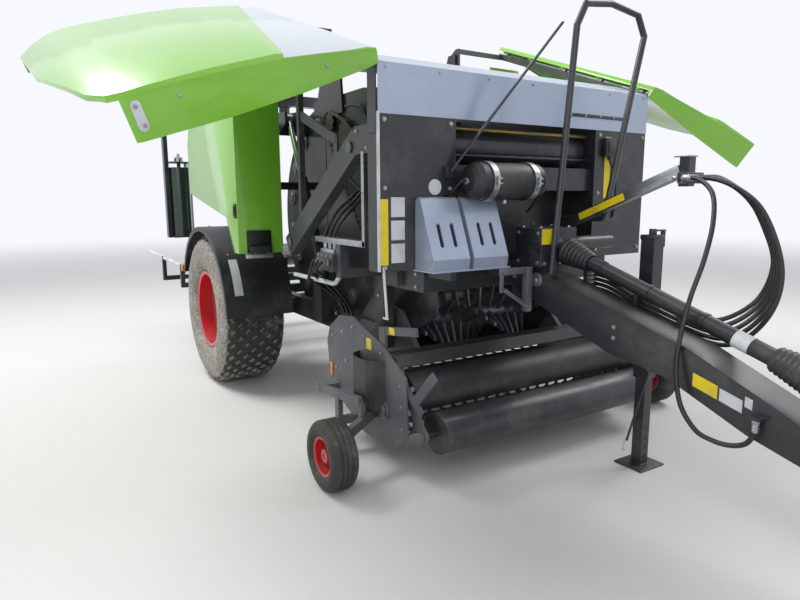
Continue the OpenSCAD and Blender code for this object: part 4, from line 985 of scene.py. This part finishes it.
def makeFenderDetails(s):
    axisZ = roadTyre["radius"]
    # pale strip bent along the right fender's front edge, on that side only
    bm = bmesh.new()
    addBand(bm, *s["stripX"], 0, axisZ, s["radius"] + 0.3, s["radius"] + 3, s["strip"], 10)
    newPiece("fenderStrip_r", bm, paleSheet)
    for letter, side in bothSides:
        bm = bmesh.new()
        for degrees in s["boltAngles"]:
            a = math.radians(degrees)
            outward = Vector((0, math.cos(a), math.sin(a)))
            for x in s["bolts"]:
                addBolt(bm, Vector((side * x, 0, axisZ)) + outward * s["radius"], outward, 16)
        newPiece("fenderBolts_" + letter, bm, platedSteel)


makeShellRibs(shell)
makeHoodDetails(hoodPlate)
makeCoverDetails(coverBox)
makeFenderDetails(fender)
print("hood and cover details made")


# pickup
pickup = {
    "half": 1020, "reel": (-2450, 360), "barRadius": 130, "bars": 4, "turn": 20, "pitch": 90, "coils": 11,
    "sheets": (((-1023, -2302, 704), (-1020, -2238, 776), 0.5),
               ((-1010.5, -2560, 846), (-1007, -2500, 888), 0.5)),
    "reflector": ((1020, -1738, 400), (1027, -1696, 500), 2.0),
    # nuts and pins on the sides: place, radius, length, how many sides
    "nuts": (((987, -2820, 300), 27, 12, 6), ((1444, gaugeTyre["y"], gaugeTyre["radius"]), 20, 12, 6),
             ((1152, -1810, 360), 16, 22, 20), ((1007, -2760, 570), 16, 9, 20),
             ((1007, -2440, 692), 16, 9, 20)),
    "stem": (1152, -2095, 372),
    # wound part of a tine on its bar: radius and place along it
    "coil": ((13, 0), (20, 0), (23, 4.5), (20, 9), (23, 13.5), (20, 18), (23, 22.5), (20, 27), (13, 27)),
}


def makePickupDetails(s):
    newPiece("pickupSheets", boxes(s["sheets"]), yellowSheet, "pickup")
    low, high, soft = s["reflector"]
    reflectors = [((side * low[0], *low[1:]), (side * high[0], *high[1:]), soft)
                  for letter, side in bothSides]
    newPiece("pickupReflectors", boxes(reflectors), amberLens, "pickup")
    half, reel = s["half"], s["reel"]
    bm = bmesh.new()
    for letter, side in bothSides:
        outward = (side, 0, 0)
        addDisc(bm, (side * half, *reel), outward, 62, 10, sides=40, soft=2.0)
        addDisc(bm, (side * (half + 10), *reel), outward, 40, 16, sides=32, soft=3.0)
        for spot in onCircle(side * (half + 10), *reel, 51, 4, start=0.5):
            addBolt(bm, spot, outward, 13)
        for (x, y, z), radius, length, count in s["nuts"]:
            addDisc(bm, (side * x, y, z), outward, radius, length, sides=count, soft=2.0)
        x, y, z = s["stem"]
        addDisc(bm, (side * x, y, z), up, 12, 26, sides=6, soft=1.5)
    newPiece("pickupBearings", bm, zincSteel, "pickup")
    bm = bmesh.new()
    for x, y, z in onCircle(49, *reel, s["barRadius"], s["bars"], start=s["turn"] * s["bars"] / 360):
        for j in range(-s["coils"], s["coils"]):
            addTurned(bm, (x + s["pitch"] * j, y, z), leftward, s["coil"], sides=10)
    newPiece("tineCoils", bm, chainSteel, "tine_reel", angle=60)


makePickupDetails(pickup)
print("pickup details made")


# wrapping table
wrapper = {
    "y": 1600, "reach": 1260, "foot": 1230, "height": 750, "feedRadius": 18, "feedStep": 91, "motorZ": 2742,
    "knob": ((1, 0), (46, 0), (46, 40), (38, 52), (16, 56), (14, 90), (1, 90)),
    "core": ((21, 0), (44, 0), (44, 6), (21, 6)),
    "motor": ((1, 0), (84, 0), (84, 16), (62, 20), (62, 120), (50, 132), (1, 132)),
}


def makeWrapDetails(s):
    top = s["foot"] + s["height"]
    for letter, side in bothSides:
        x = side * s["reach"]
        bm = bmesh.new()
        addTurned(bm, (x, s["y"], top + 74), up, s["knob"], sides=32)
        for step in (-s["feedStep"], s["feedStep"]):
            addDisc(bm, (x - side * s["feedStep"], s["y"] + step, s["foot"] + 14), up, s["feedRadius"],
                    s["height"] + 46, sides=28)
        newPiece("stretchRollers_" + letter, bm, platedSteel, "wrap_arm")
        bm = bmesh.new()
        for z in (s["foot"] + 14.6, top + 9):
            addTurned(bm, (x, s["y"], z), up, s["core"], sides=32)
        newPiece("filmCores_" + letter, bm, paleSheet, "wrap_arm")
    bm = bmesh.new()
    addTurned(bm, (0, s["y"], s["motorZ"]), down, s["motor"])
    newPiece("wrapMotor", bm, chassisPaint, "wrap_arm")


makeWrapDetails(wrapper)
print("wrapping table details made")


# stage and light
stageLook = {"floor": "#dddcd9", "floorRough": 0.85, "size": 120.0, "fade": (6.0, 26.0), "sky": "#f7f9ff",
             "world": 0.56}


def makeStage(s):
    bpy.ops.mesh.primitive_plane_add(size=s["size"], location=(0, 0, 0))
    floor = bpy.context.object
    floor.name = "floor"
    mat = bpy.data.materials.new("paleFloor")
    mat.use_nodes = True
    t = mat.node_tree
    ground = t.nodes["Principled BSDF"]
    ground.inputs["Base Color"].default_value = linear(s["floor"])
    ground.inputs["Roughness"].default_value = s["floorRough"]
    # fades into the white background far from the machine
    away = addNode(t, "ShaderNodeVectorMath", {"operation": "LENGTH"},
                   {0: addNode(t, "ShaderNodeTexCoord").outputs["Object"]})
    fade = addNode(t, "ShaderNodeMapRange", {"interpolation_type": "SMOOTHSTEP", "From Min": s["fade"][0],
                                             "From Max": s["fade"][1]}, {"Value": away.outputs["Value"]})
    glow = addNode(t, "ShaderNodeEmission", {"Color": s["sky"]})
    mixed = addNode(t, "ShaderNodeMixShader",
                    links={0: fade.outputs["Result"], 1: ground.outputs[0], 2: glow.outputs[0]})
    t.links.new(t.nodes["Material Output"].inputs["Surface"], mixed.outputs[0])
    floor.data.materials.append(mat)


def makeWorld(s):
    # plain light on the object, full white where the camera or a reflection sees it
    world = bpy.data.worlds.new("studio")
    bpy.context.scene.world = world
    world.use_nodes = True
    t = world.node_tree
    path = addNode(t, "ShaderNodeLightPath")
    seen = path.outputs["Is Camera Ray"]
    for ray in ("Is Glossy Ray", "Is Transmission Ray"):
        seen = addNode(t, "ShaderNodeMath", {"operation": "MAXIMUM"},
                       {0: seen, 1: path.outputs[ray]}).outputs[0]
    strength = addNode(t, "ShaderNodeMapRange", {"To Min": s["world"], "To Max": 1.0}, {"Value": seen})
    back = t.nodes["Background"]
    back.inputs["Color"].default_value = linear(s["sky"])
    t.links.new(back.inputs["Strength"], strength.outputs["Result"])


lamps = {
    # name: place, aim, size, watts
    "keyLight": ((-4.5, 3.5, 9.0), (0, -1.0, 1.2), 4.0, 750),
    "fillLight": ((-6.0, -8.0, 5.0), (0, -1.0, 1.0), 6.0, 180),
    "rimLight": ((6.0, -2.0, 7.0), (0, 0, 1.5), 4.0, 300),
}


def makeLamps(table):
    for name, (place, aim, size, watts) in table.items():
        data = bpy.data.lights.new(name, "AREA")
        data.size, data.energy = size, watts
        lamp = bpy.data.objects.new(name, data)
        lamp.location = place
        lamp.rotation_euler = (Vector(aim) - Vector(place)).to_track_quat("-Z", "Y").to_euler()
        bpy.context.scene.collection.objects.link(lamp)


makeStage(stageLook)
makeWorld(stageLook)
makeLamps(lamps)
bpy.context.scene.view_settings.view_transform = "Standard"
print("stage and lamps set")
